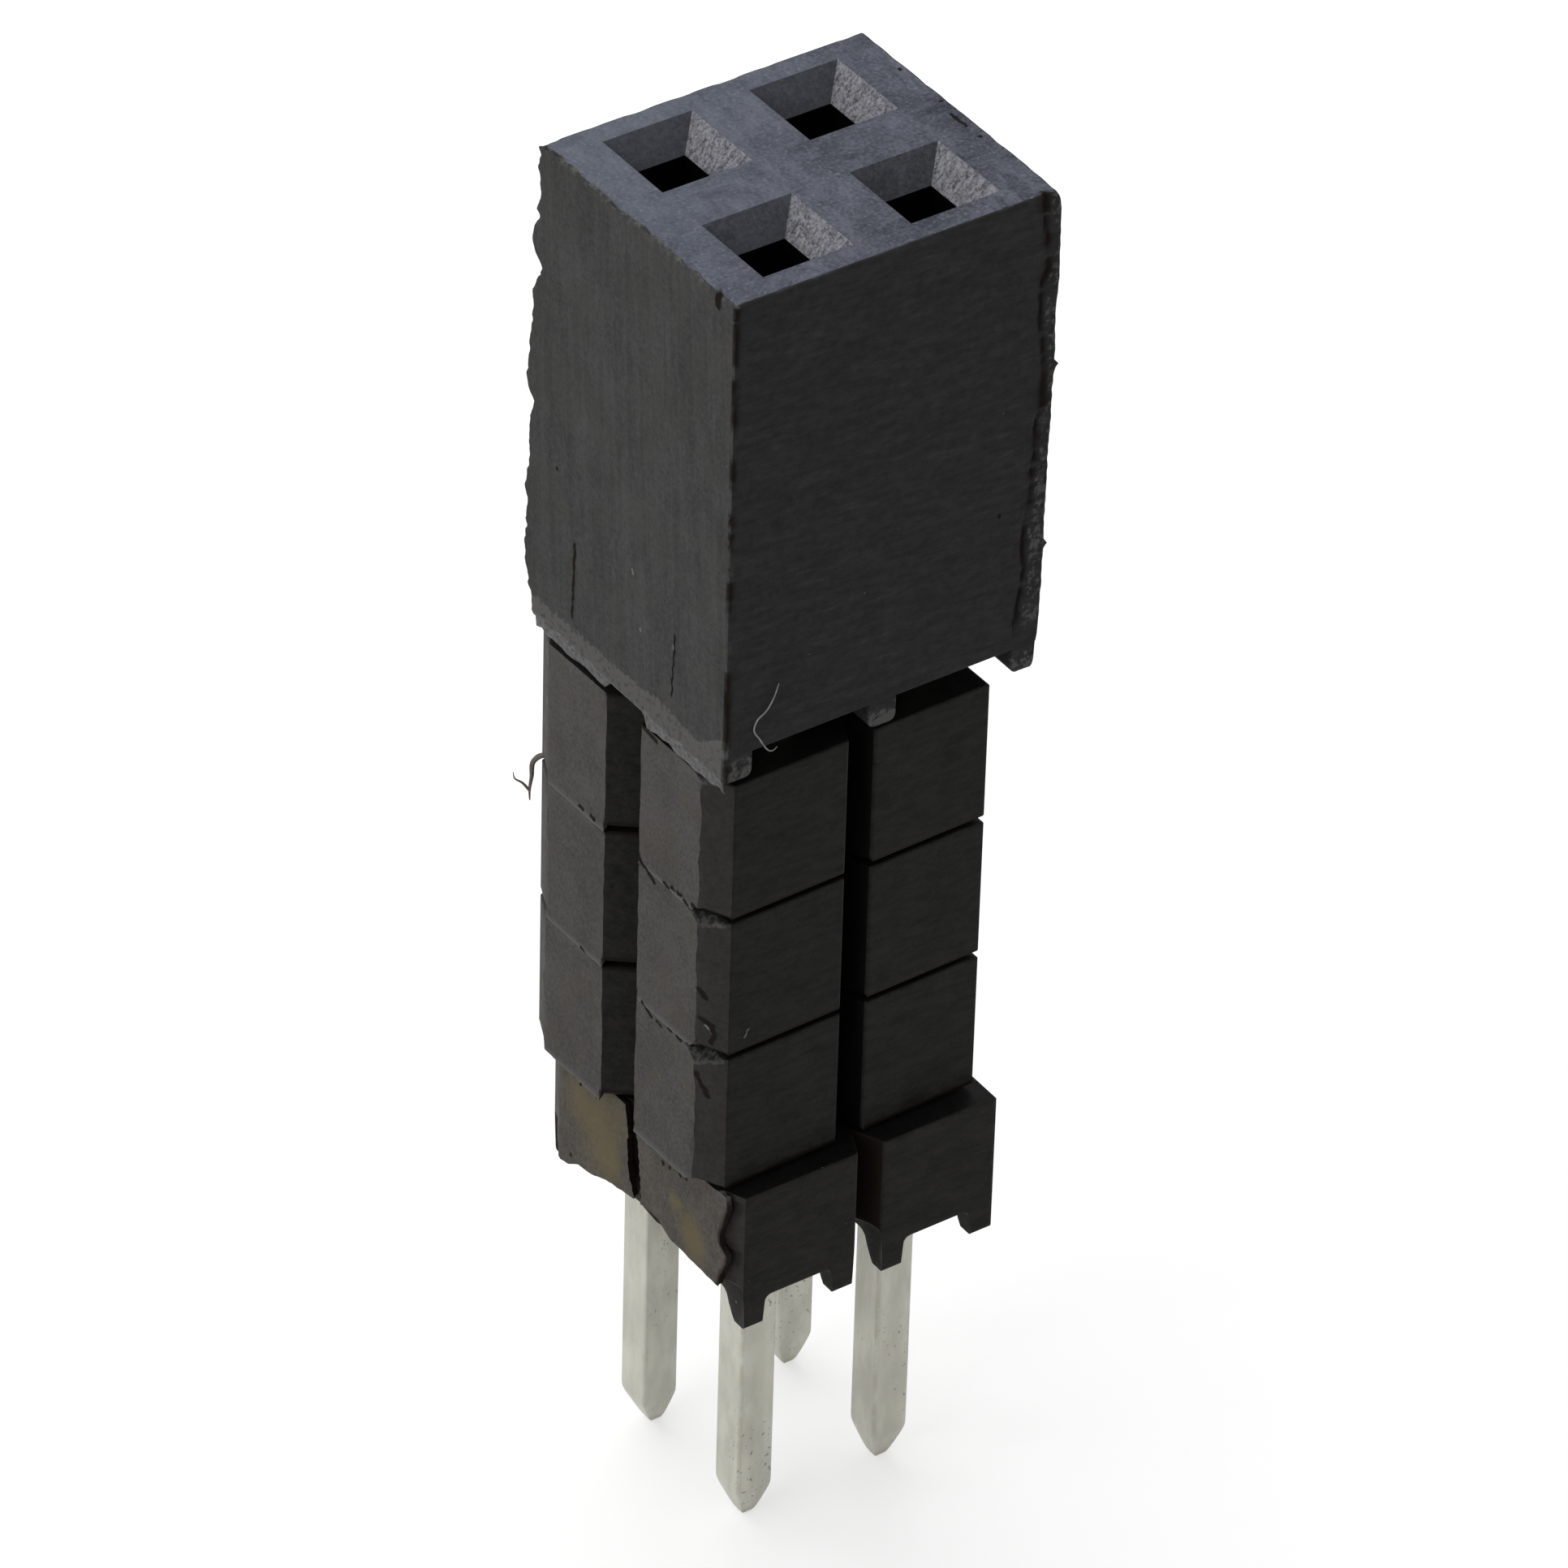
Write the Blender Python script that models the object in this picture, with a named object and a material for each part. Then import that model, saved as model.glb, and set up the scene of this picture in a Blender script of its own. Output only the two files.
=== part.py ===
"""Elevated board to board socket: two rows of two positions, sawn from longer strips.

A socket housing sits on top of four long square posts. Three loose spacers and a footed base
spacer are threaded on the posts and hold the housing above the lower board.
Metres, +Z up. The origin is the middle of the post grid on the plane of the lower board's top.
+X runs along the strip, -Y is the moulded front and -X is the sawn end.
"""

import math

import bmesh
import bpy

# Post grid and square posts
PITCH = 0.00254
POST_SIDE = 0.00064
POST_EDGE = 0.00004
TAIL_LENGTH = 0.00493
TIP_LENGTH = 0.00058
TIP_SIDE = 0.00020

# Base spacer, which stands on the lower board
BASE_HEIGHT = 0.00254
BASE_DEPTH = 0.00518
BASE_PLAY = 0.00006
FOOT_HEIGHT = 0.00048
FOOT_WIDTH = 0.00041
FOOT_DEPTH = 0.00040
FOOT_DRAFT = 0.00003
ARCH_RADIUS = 0.00013
INNER_DRAFT = 0.00016
INNER_RADIUS = 0.00020
NOTCH_HEIGHT = 0.00034
NOTCH_RADIUS = 0.00015
SMEAR_THICKNESS = 0.00010
CRACK_WIDTH = 0.00011

# Loose spacers, stacked between the base and the housing
SPACER_NAMES = ("spacer_lower", "spacer_middle", "spacer_upper")
SPACER_HEIGHT = 0.00246
SPACER_DEPTH = 0.00493
SPACER_SEAM = 0.00008
SPACER_PLAY = 0.00060
SPACER_YAW = math.radians(1.1)
REAR_SHARE = 0.84
POST_REST = 0.00003

# Break grooves and diamond slots on the boundary between two cells of a spacer strip
GROOVE_MOUTH = 0.00050
GROOVE_DRAFT = 0.00002
GROOVE_DEPTH = 0.00052
SLOT_WIDTH = 0.00089
SLOT_REACH = 0.00053
END_TRIM = 0.00024

# Socket housing
HOUSING_GAP = 0.00024
HOUSING_OVERRUN = 0.000245
HOUSING_DEPTH = 0.00492
HOUSING_HEIGHT = 0.00795
RIB_WIDTH = 0.00046
RIB_DROP = 0.00043
RIB_ROUND = 0.00010
RIB_END_STEP = 0.00005
BURR_REACH = 0.00034
BURR_THICKNESS = 0.00008
LEAD_IN_SIDE = 0.00155
LEAD_IN_DEPTH = 0.00045
PIN_PLAY = 0.00020
CAVITY_SIDE = 0.00150
CAVITY_ROOF = 0.00130

# Spring contact on the top of each post, inside the housing
CONTACT_FIT = 0.00002
CONTACT_INSET = 0.00027
STRIP_THICKNESS = 0.00020
LEAF_WIDTH = 0.00100
LEAF_ROOT = 0.00160
LEAF_TIP_CLEARANCE = 0.00040
FLARE_HEIGHT = 0.00080
FLARE_SPREAD = 0.00022
PINCH_GAP = 0.00040
LEAF_STEPS = 8

# How far a cutter runs past the face it opens, and how many parts a rounded corner has
OVERSHOOT = 0.00020
ARC_STEPS = 5

# Heights above the lower board that follow from the stack
STACK_TOP = BASE_HEIGHT + len(SPACER_NAMES) * (SPACER_SEAM + SPACER_HEIGHT)
RIB_BOTTOM = STACK_TOP + HOUSING_GAP
HOUSING_BOTTOM = RIB_BOTTOM + RIB_DROP
HOUSING_TOP = HOUSING_BOTTOM + HOUSING_HEIGHT

# Ragged edge of the burr behind the sawn end: shares of the housing's height and of the burr's reach
REAR_BURR = (
    (0.00, 0.50),
    (0.13, 1.00),
    (0.37, 0.65),
    (0.44, 1.00),
    (0.70, 0.50),
    (0.76, 0.80),
    (0.84, 0.50),
    (0.98, 0.10),
)

PLASTIC_HOUSING = ((0.050, 0.052, 0.056, 1.0), 0.55, 0.0)
PLASTIC_SPACER = ((0.030, 0.030, 0.031, 1.0), 0.50, 0.0)
MATT_TIN = ((0.600, 0.595, 0.555, 1.0), 0.45, 1.0)


def clear_scene():
    """Remove whatever the open file already holds."""
    for item in list(bpy.data.objects):
        bpy.data.objects.remove(item, do_unlink=True)


def make_material(name, finish):
    """Principled material from a colour, a roughness and a metallic value."""
    colour, roughness, metallic = finish
    material = bpy.data.materials.new(name)
    material.use_nodes = True
    shader = material.node_tree.nodes["Principled BSDF"]
    shader.inputs["Base Color"].default_value = colour
    shader.inputs["Roughness"].default_value = roughness
    shader.inputs["Metallic"].default_value = metallic
    material.diffuse_color = colour
    return material


def add_object(name, mesh_builder, material=None):
    """Link an object that holds the built mesh; one without a material is a cutter."""
    bmesh.ops.recalc_face_normals(mesh_builder, faces=mesh_builder.faces)
    mesh = bpy.data.meshes.new(name)
    mesh_builder.to_mesh(mesh)
    mesh_builder.free()
    item = bpy.data.objects.new(name, mesh)
    bpy.context.collection.objects.link(item)
    if material is None:
        item.hide_render = True
        item.display_type = "WIRE"
    else:
        mesh.materials.append(material)
    return item


def boolean(target, tool, operation):
    """Cut or join one object with another through a live modifier."""
    modifier = target.modifiers.new(f"{operation.lower()}_{tool.name}", "BOOLEAN")
    modifier.operation = operation
    modifier.solver = "EXACT"
    modifier.object = tool


def loft(builder, rings):
    """Closed solid through rings of corners that all have the same count, first to last."""
    loops = [[builder.verts.new(corner) for corner in ring] for ring in rings]
    count = len(loops[0])
    for lower, upper in zip(loops, loops[1:]):
        for i in range(count):
            j = (i + 1) % count
            builder.faces.new((lower[i], lower[j], upper[j], upper[i]))
    builder.faces.new(list(reversed(loops[0])))
    builder.faces.new(loops[-1])


def rectangle(x_low, x_high, y_low, y_high, z):
    """Corners of a level rectangle, counter-clockwise seen from above."""
    return [(x_low, y_low, z), (x_high, y_low, z), (x_high, y_high, z), (x_low, y_high, z)]


def square_ring(x, y, side, z):
    """Corners of a level square about a point."""
    half = side / 2
    return rectangle(x - half, x + half, y - half, y + half, z)


def arc(centre, radius, start, turn):
    """Points of an arc in a flat outline, with both ends."""
    angles = [start + turn * step / ARC_STEPS for step in range(ARC_STEPS + 1)]
    return [
        (centre[0] + radius * math.cos(angle), centre[1] + radius * math.sin(angle))
        for angle in angles
    ]


def post_places():
    """Names and places of the four posts of the two by two grid."""
    rows = (("front", -PITCH / 2), ("rear", PITCH / 2))
    sides = (("left", -PITCH / 2), ("right", PITCH / 2))
    return [(f"{row}_{side}", x, y) for row, y in rows for side, x in sides]


def strip_outline(depth, mouth, smeared):
    """Plan of two cells of a spacer strip, counter-clockwise from the sawn front corner.

    The strip is sawn at the left through the middle of a break groove and a diamond slot, and
    trimmed flat at the right, short of the next groove. Where the saw smeared the plastic over
    the slot, only a crack is left of its mouth.
    """
    half = depth / 2
    sawn = -PITCH
    trimmed = PITCH - END_TRIM
    front = [
        (sawn, GROOVE_DEPTH - half),
        (sawn + mouth / 2, -half),
        (-mouth / 2, -half),
        (0.0, GROOVE_DEPTH - half),
        (mouth / 2, -half),
        (trimmed, -half),
    ]
    rear = [(x, -y) for x, y in reversed(front)]
    if smeared:
        behind = sawn + SMEAR_THICKNESS
        slot_edge = SLOT_WIDTH / 2 * (1 - SMEAR_THICKNESS / SLOT_REACH)
        upper_lip = [(sawn, CRACK_WIDTH / 2), (behind, CRACK_WIDTH / 2), (behind, slot_edge)]
    else:
        upper_lip = [(sawn, SLOT_WIDTH / 2)]
    lower_lip = [(x, -y) for x, y in reversed(upper_lip)]
    return front + rear + upper_lip + [(sawn + SLOT_REACH, 0.0)] + lower_lip


def strip_solid(builder, depth, bottom, top, smeared):
    """Two cells of a spacer strip, whose grooves widen upwards by the mould's draft."""
    narrow = strip_outline(depth, GROOVE_MOUTH - GROOVE_DRAFT, smeared)
    wide = strip_outline(depth, GROOVE_MOUTH + GROOVE_DRAFT, smeared)
    loft(builder, [[(x, y, bottom) for x, y in narrow], [(x, y, top) for x, y in wide]])


def strip_cutter(name, hole_side, bottom, top):
    """Four square post holes and the whole diamond slot in the middle, all right through."""
    builder = bmesh.new()
    low, high = bottom - OVERSHOOT, top + OVERSHOOT
    for _, x, y in post_places():
        loft(builder, [square_ring(x, y, hole_side, z) for z in (low, high)])
    diamond = [(-SLOT_REACH, 0.0), (0.0, -SLOT_WIDTH / 2), (SLOT_REACH, 0.0), (0.0, SLOT_WIDTH / 2)]
    loft(builder, [[(x, y, z) for x, y in diamond] for z in (low, high)])
    return add_object(name, builder)


def channel_outline(low, high, roof, radius, draft):
    """Side view of a channel under the base: drafted walls and a roof with round corners."""
    left = arc((low + radius, roof - radius), radius, math.pi, -math.pi / 2)
    right = arc((high - radius, roof - radius), radius, math.pi / 2, -math.pi / 2)
    spread = draft * (1 + OVERSHOOT / FOOT_HEIGHT)
    floor = [(high + spread, -OVERSHOOT), (low - spread, -OVERSHOOT)]
    return left + right + floor


def base_channels_across():
    """Cutter for what is open between two feet of a row, and for the taller break notches."""
    builder = bmesh.new()
    reach = BASE_DEPTH / 2 + OVERSHOOT
    mouth = GROOVE_MOUTH / 2
    inner_foot = mouth + FOOT_WIDTH
    outer_foot = PITCH - END_TRIM - FOOT_WIDTH
    notch_roof = FOOT_HEIGHT + NOTCH_HEIGHT
    outlines = [
        channel_outline(low, high, FOOT_HEIGHT, ARCH_RADIUS, FOOT_DRAFT)
        for low, high in ((-outer_foot, -inner_foot), (inner_foot, outer_foot))
    ]
    outlines += [
        channel_outline(x - mouth, x + mouth, notch_roof, NOTCH_RADIUS, FOOT_DRAFT)
        for x in (-PITCH, 0.0)
    ]
    for outline in outlines:
        loft(builder, [[(x, y, z) for x, z in outline] for y in (-reach, reach)])
    return add_object("base_channels_across", builder)


def base_channel_along():
    """Cutter for the wide channel between the front and the rear row of feet."""
    builder = bmesh.new()
    reach = PITCH + OVERSHOOT
    wall = BASE_DEPTH / 2 - FOOT_DEPTH
    outline = channel_outline(-wall, wall, FOOT_HEIGHT, INNER_RADIUS, INNER_DRAFT)
    loft(builder, [[(x, y, z) for y, z in outline] for x in (-reach, reach)])
    return add_object("base_channel_along", builder)


def make_base(material):
    """Footed spacer on the lower board: a strip with feet at the corners of its cells."""
    builder = bmesh.new()
    strip_solid(builder, BASE_DEPTH, 0.0, BASE_HEIGHT, smeared=True)
    base = add_object("base_spacer", builder, material)
    boolean(base, strip_cutter("base_holes", POST_SIDE + BASE_PLAY, 0.0, BASE_HEIGHT), "DIFFERENCE")
    boolean(base, base_channels_across(), "DIFFERENCE")
    boolean(base, base_channel_along(), "DIFFERENCE")


def spacer_slide():
    """How far a turned spacer can slide before its holes come to rest against the posts."""
    swing = PITCH / 2 * math.sin(SPACER_YAW)
    corner = POST_SIDE / 2 * (math.cos(SPACER_YAW) + math.sin(SPACER_YAW) - 1)
    return SPACER_PLAY / 2 - swing - corner - POST_REST


def make_spacers(material):
    """Loose spacers, slid towards the sawn end and the rear and turned a little on the posts."""
    builder = bmesh.new()
    strip_solid(builder, SPACER_DEPTH, 0.0, SPACER_HEIGHT, smeared=False)
    slide = spacer_slide()
    cutter = strip_cutter("spacer_holes", POST_SIDE + SPACER_PLAY, BASE_HEIGHT, STACK_TOP)
    cutter.location = (-slide, slide * REAR_SHARE, 0.0)
    cutter.rotation_euler.z = SPACER_YAW
    first = add_object(SPACER_NAMES[0], builder, material)
    for level, name in enumerate(SPACER_NAMES):
        spacer = first
        if level > 0:
            spacer = bpy.data.objects.new(name, first.data)
            bpy.context.collection.objects.link(spacer)
        height = BASE_HEIGHT + SPACER_SEAM + level * (SPACER_HEIGHT + SPACER_SEAM)
        spacer.location = (-slide, slide * REAR_SHARE, height)
        spacer.rotation_euler.z = SPACER_YAW
        boolean(spacer, cutter, "DIFFERENCE")


def rib_outline(low, high):
    """Side view of one rib under the housing, left to right, with round lower corners."""
    level = RIB_BOTTOM + RIB_ROUND
    left = arc((low + RIB_ROUND, level), RIB_ROUND, math.pi, math.pi / 2)
    right = arc((high - RIB_ROUND, level), RIB_ROUND, -math.pi / 2, math.pi / 2)
    return left + right


def housing_outline():
    """Side view of the housing along the strip: a block with three cross ribs under it.

    The sawn end runs straight down into its rib, and the far end stands a step past its rib.
    """
    end = PITCH + HOUSING_OVERRUN
    rib = RIB_WIDTH / 2
    sawn_rib = [(-end, RIB_BOTTOM)] + rib_outline(-end, rib - PITCH)[ARC_STEPS + 1 :]
    points = sawn_rib + [(rib - PITCH, HOUSING_BOTTOM), (-rib, HOUSING_BOTTOM)]
    points += rib_outline(-rib, rib)
    points += [(rib, HOUSING_BOTTOM), (PITCH - rib, HOUSING_BOTTOM)]
    points += rib_outline(PITCH - rib, end - RIB_END_STEP)
    points += [(end - RIB_END_STEP, HOUSING_BOTTOM), (end, HOUSING_BOTTOM)]
    return points + [(end, HOUSING_TOP), (-end, HOUSING_TOP)]


def housing_pockets():
    """Cutter for the four funnels on top and the contact cavity under each."""
    builder = bmesh.new()
    roof = HOUSING_TOP - CAVITY_ROOF
    pin_hole = POST_SIDE + PIN_PLAY
    slope = (LEAD_IN_SIDE - pin_hole) / LEAD_IN_DEPTH
    sections = (
        (CAVITY_SIDE, HOUSING_BOTTOM - OVERSHOOT),
        (CAVITY_SIDE, roof),
        (pin_hole, roof),
        (pin_hole, HOUSING_TOP - LEAD_IN_DEPTH),
        (LEAD_IN_SIDE + slope * OVERSHOOT, HOUSING_TOP + OVERSHOOT),
    )
    for _, x, y in post_places():
        loft(builder, [square_ring(x, y, side, z) for side, z in sections])
    return add_object("housing_pockets", builder)


def housing_burr():
    """Thin ragged flange that the saw dragged out behind the housing, flush with the sawn end."""
    builder = bmesh.new()
    half = HOUSING_DEPTH / 2
    edge = [
        (half + BURR_REACH * reach, HOUSING_BOTTOM + HOUSING_HEIGHT * share)
        for share, reach in REAR_BURR
    ]
    root = half - BURR_THICKNESS
    outline = [(root, edge[0][1])] + edge + [(root, edge[-1][1])]
    sawn = -PITCH - HOUSING_OVERRUN
    loft(builder, [[(x, y, z) for y, z in outline] for x in (sawn, sawn + BURR_THICKNESS)])
    return add_object("housing_burr", builder)


def make_housing(material):
    """Socket housing: a ribbed block with four funnels on top and contact cavities inside."""
    builder = bmesh.new()
    half = HOUSING_DEPTH / 2
    outline = housing_outline()
    loft(builder, [[(x, y, z) for x, z in outline] for y in (-half, half)])
    housing = add_object("socket_housing", builder, material)
    boolean(housing, housing_pockets(), "DIFFERENCE")
    boolean(housing, housing_burr(), "UNION")


def post_ring(x, y, side, z):
    """Eight corners of a square post's section with its four edges blunted."""
    half = side / 2
    short = half - POST_EDGE * side / POST_SIDE
    corners = [(half, -short), (half, short), (short, half), (-short, half)]
    corners += [(-u, -v) for u, v in corners]
    return [(x + u, y + v, z) for u, v in corners]


def ease(share):
    """Smooth step from 0 to 1 with level ends."""
    return (1 - math.cos(math.pi * share)) / 2


def leaf_line(outer, root, pinch, tip):
    """Outer face of one spring leaf from its root to its tip, as distance from the middle and height.

    It leans in smoothly to the pinch and turns out again at the tip.
    """
    narrow = PINCH_GAP / 2 + STRIP_THICKNESS
    line = [(outer, root)]
    for step in range(1, LEAF_STEPS + 1):
        share = step / LEAF_STEPS
        line.append((outer + (narrow - outer) * ease(share), root + (pinch - root) * share))
    for step in range(1, LEAF_STEPS // 2 + 1):
        share = step / (LEAF_STEPS // 2)
        line.append((narrow + FLARE_SPREAD * share * share, pinch + (tip - pinch) * share))
    return line


def fork_outline():
    """Side view of the two leaves and the floor that joins them, across the strip."""
    outer = CAVITY_SIDE / 2 - CONTACT_FIT
    bottom = HOUSING_BOTTOM + CONTACT_INSET
    floor = bottom + STRIP_THICKNESS
    tip = HOUSING_TOP - CAVITY_ROOF - LEAF_TIP_CLEARANCE
    line = leaf_line(outer, bottom + LEAF_ROOT, tip - FLARE_HEIGHT, tip)
    outside = [(outer, bottom)] + line
    inside = [(y - STRIP_THICKNESS, z) for y, z in reversed(line)]
    inside.append((outer - STRIP_THICKNESS, floor))
    right = outside + inside
    return right + [(-y, z) for y, z in reversed(right)]


def make_contact(name, x, y, material):
    """Post, shoulder plate and spring leaves of one contact, which is a single stamping."""
    plate_side = CAVITY_SIDE - 2 * CONTACT_FIT
    plate_bottom = HOUSING_BOTTOM + CONTACT_INSET
    post = bmesh.new()
    sections = (
        (TIP_SIDE, -TAIL_LENGTH),
        (POST_SIDE, TIP_LENGTH - TAIL_LENGTH),
        (POST_SIDE, plate_bottom + STRIP_THICKNESS / 2),
    )
    loft(post, [post_ring(x, y, side, z) for side, z in sections])
    contact = add_object(f"contact_{name}", post, material)

    plate = bmesh.new()
    levels = (plate_bottom, plate_bottom + STRIP_THICKNESS)
    loft(plate, [square_ring(x, y, plate_side, z) for z in levels])
    boolean(contact, add_object(f"plate_{name}", plate), "UNION")

    fork = bmesh.new()
    outline = fork_outline()
    faces = (x - LEAF_WIDTH / 2, x + LEAF_WIDTH / 2)
    loft(fork, [[(face, y + v, z) for v, z in outline] for face in faces])
    boolean(contact, add_object(f"leaves_{name}", fork), "UNION")


def main():
    """Build every piece of the socket."""
    clear_scene()
    make_base(make_material("base_spacer_plastic", PLASTIC_SPACER))
    make_spacers(make_material("spacer_plastic", PLASTIC_SPACER))
    make_housing(make_material("housing_plastic", PLASTIC_HOUSING))
    for name, x, y in post_places():
        make_contact(name, x, y, make_material(f"contact_{name}_tin", MATT_TIN))


main()
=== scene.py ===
"""Looks of an elevated board to board socket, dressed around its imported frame.

A socket housing and three loose spacers stand on a footed base spacer, threaded on four long
square posts. Every shape is worked out in millimetres with numpy and written to its mesh in
metres. +X runs along the strip, -X is the sawn end, -Y is the moulded front and +Z is up.
"""

from __future__ import annotations

import logging
import math
from collections.abc import Callable
from dataclasses import dataclass, field
from enum import Enum
from functools import reduce

import bmesh
import bpy
import numpy as np
from mathutils import Matrix, Vector


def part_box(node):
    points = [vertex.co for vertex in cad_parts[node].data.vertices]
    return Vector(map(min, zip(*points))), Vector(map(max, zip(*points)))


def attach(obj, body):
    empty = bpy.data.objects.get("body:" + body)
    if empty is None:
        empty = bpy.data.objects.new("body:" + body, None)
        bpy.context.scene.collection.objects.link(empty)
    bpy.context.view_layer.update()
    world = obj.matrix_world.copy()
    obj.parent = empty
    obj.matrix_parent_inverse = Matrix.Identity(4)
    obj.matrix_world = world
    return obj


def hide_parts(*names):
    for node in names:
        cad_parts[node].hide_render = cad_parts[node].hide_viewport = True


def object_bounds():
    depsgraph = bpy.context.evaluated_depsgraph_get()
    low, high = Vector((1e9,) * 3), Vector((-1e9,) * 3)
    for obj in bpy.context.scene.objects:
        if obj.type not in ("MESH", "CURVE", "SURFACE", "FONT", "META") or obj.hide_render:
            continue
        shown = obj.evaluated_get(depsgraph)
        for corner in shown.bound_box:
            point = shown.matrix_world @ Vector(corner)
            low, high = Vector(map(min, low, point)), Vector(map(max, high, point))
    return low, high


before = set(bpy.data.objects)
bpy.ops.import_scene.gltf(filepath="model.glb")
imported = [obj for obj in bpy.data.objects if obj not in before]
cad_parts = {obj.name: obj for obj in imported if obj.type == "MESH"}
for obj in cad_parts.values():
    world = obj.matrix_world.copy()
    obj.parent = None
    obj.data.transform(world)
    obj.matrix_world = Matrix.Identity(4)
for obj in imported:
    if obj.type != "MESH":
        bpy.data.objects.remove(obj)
CAD_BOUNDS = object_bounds()

MM = 0.001
WELD = 0.0002
CREASE = 24.0
ROUND_STEPS = 5
BODY = "root"

log = logging.getLogger("socket")


def node_box(node: str) -> tuple[np.ndarray, np.ndarray]:
    """Lowest and highest corner of a frame node, in millimetres."""
    low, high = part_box(node)
    return np.array(low) / MM, np.array(high) / MM


def smooth_step(low: float, high: float, value: np.ndarray) -> np.ndarray:
    """Cubic step, 3t^2 - 2t^3, where t runs from 0 at low to 1 at high."""
    t = np.clip((value - low) / (high - low), 0.0, 1.0)
    return t * t * (3.0 - 2.0 * t)


def ragged(place: np.ndarray, step: float, seed: int, octaves: int = 3) -> np.ndarray:
    """Torn line: straight runs between random heights, halved in width and height per octave.

    Args:
        place: Distance along the line.
        step: Length of the longest runs.
        seed: Seed of the random heights.
        octaves: How many layers are added up.

    Returns:
        Height of the line at each place, from 0 to 1.
    """
    random = np.random.default_rng(seed)
    total = np.zeros_like(place, dtype=float)
    weight = 0.0
    for octave in range(octaves):
        knots = random.random(512)
        where = np.mod(place / step * 2**octave + 97.0, 511.0)
        total += np.interp(where, np.arange(512), knots) / 2**octave
        weight += 1.0 / 2**octave
    return total / weight


def lumps(points: np.ndarray, size: float, seed: int) -> np.ndarray:
    """Soft unevenness: the mean of eight sine waves of random direction and phase.

    Args:
        points: Places, one row each.
        size: Mean wavelength.
        seed: Seed of the directions and phases.

    Returns:
        Value at each place, from -1 to 1 and mostly near 0.
    """
    random = np.random.default_rng(seed)
    waves = random.normal(size=(points.shape[-1], 8)) * 2.0 * math.pi / size / math.sqrt(3.0)
    return np.sin(points @ waves + random.random(8) * 2.0 * math.pi).mean(axis=-1)


Outline = tuple[tuple[float, float], ...]


def along_height(outline: Outline, height: np.ndarray) -> np.ndarray:
    """Value of an outline, given as rising heights with their values, at each height."""
    levels, values = zip(*outline)
    return np.interp(height, levels, values)


def span_counts(keys: list[float], step: float) -> np.ndarray:
    """Number of equal parts for each span between neighbouring keys, none longer than a step."""
    return np.maximum(1, np.ceil(np.diff(keys) / step - 1e-6)).astype(int)


def spread(keys: list[float], counts: np.ndarray) -> np.ndarray:
    """Lines through all the rising keys, with each span cut into its count of equal parts."""
    spans = [np.linspace(a, b, n, endpoint=False) for a, b, n in zip(keys, keys[1:], counts)]
    return np.concatenate(spans + [np.array([keys[-1]])])


def quarter(radius: float, steps: int, rising: bool) -> tuple[np.ndarray, np.ndarray]:
    """Quarter round of an edge: inset r - r cos t and height r - r sin t, t from 0 to 90 degrees.

    Args:
        radius: Radius r of the edge.
        steps: Number of parts.
        rising: True from the flat end towards the wall, False the other way round.

    Returns:
        Insets and heights of the points, both ends included.
    """
    turn = np.linspace(0.0, math.pi / 2.0, steps + 1)
    if rising:
        turn = turn[::-1]
    return radius - radius * np.cos(turn), radius - radius * np.sin(turn)


def ring_numbers(start: np.ndarray, end: np.ndarray) -> tuple[np.ndarray, np.ndarray, np.ndarray]:
    """Corners that border edges use, and where each edge starts and ends among them."""
    ring, numbers = np.unique(np.concatenate([start, end]), return_inverse=True)
    return ring, numbers[: len(start)], numbers[len(start) :]


def rounded_wall(
    low: np.ndarray, high: np.ndarray, pulls: list[np.ndarray], radii: tuple[np.ndarray, ...], levels: int
) -> np.ndarray:
    """Rings of a straight wall whose lower and upper edges are quarter rounds.

    Args:
        low: Foot of the sharp wall, one row per place.
        high: Top of the sharp wall, one row per place.
        pulls: How far the rounds pull the foot and the top inwards in plan, as vectors.
        radii: Radii of the rounds at the foot and at the top.
        levels: Number of levels of the straight part, both ends included.

    Returns:
        One row of places per ring, lowest ring first.
    """
    inset, drop = quarter(1.0, ROUND_STEPS, False)
    share = np.linspace(0.0, 1.0, levels)[1:-1, None]
    still, flank = np.zeros((len(share), 1)), np.zeros((len(inset), 1))
    blend = np.concatenate([flank, share, flank + 1.0])[..., None]
    flat = low[:, :2] + (high - low)[:, :2] * blend
    flat = flat - pulls[0] * np.concatenate([inset[::-1, None], still, flank])[..., None]
    flat = flat - pulls[1] * np.concatenate([flank, still, inset[:, None]])[..., None]
    foot, top = low[:, 2] + radii[0], high[:, 2] - radii[1]
    rise = (
        low[:, 2] + radii[0] * drop[::-1, None],
        foot + (top - foot) * share,
        high[:, 2] - radii[1] * drop[:, None],
    )
    return np.concatenate([flat, np.concatenate(rise)[..., None]], axis=-1)


class Skin(Enum):
    """How a patch of plastic was left, and where light is painted: shares of sawn, top, crinkled and painted
    shade.
    """

    MOULDED = (0.0, 0.0, 0.0, 0.0)
    SAWN = (1.0, 0.0, 0.0, 0.0)
    # The top skin: a painted sheen on the housing, painted shade on the spacers' tops.
    TOP = (0.0, 1.0, 0.0, 0.0)
    # Painted shade: the funnel slopes that face away from the light, a darker mix of top and crinkle.
    SHADED = (0.0, 0.45, 0.12, 0.0)
    FACET = (0.22, 0.0, 0.0, 0.0)
    # Painted highlight: the rear facets beside the cut take the sawn colour, standing in for a reflection at
    # a grazing angle.
    PAINTED_HIGHLIGHT = (0.7, 0.0, 0.0, 0.0)
    # Crinkled funnel slopes that face the light: a crinkle texture whose paleness is partly painted light.
    CRINKLED = (0.0, 0.0, 1.0, 0.0)
    # Painted shade in holes, tunnels and recesses.
    PAINTED_SHADE = (0.0, 0.0, 0.0, 1.0)


SKIN_MASKS = ("sawn", "top", "crinkled", "painted_shade")
CELL_CORNERS = (np.s_[:-1, :-1], np.s_[1:, :-1], np.s_[1:, 1:], np.s_[:-1, 1:])


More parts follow.
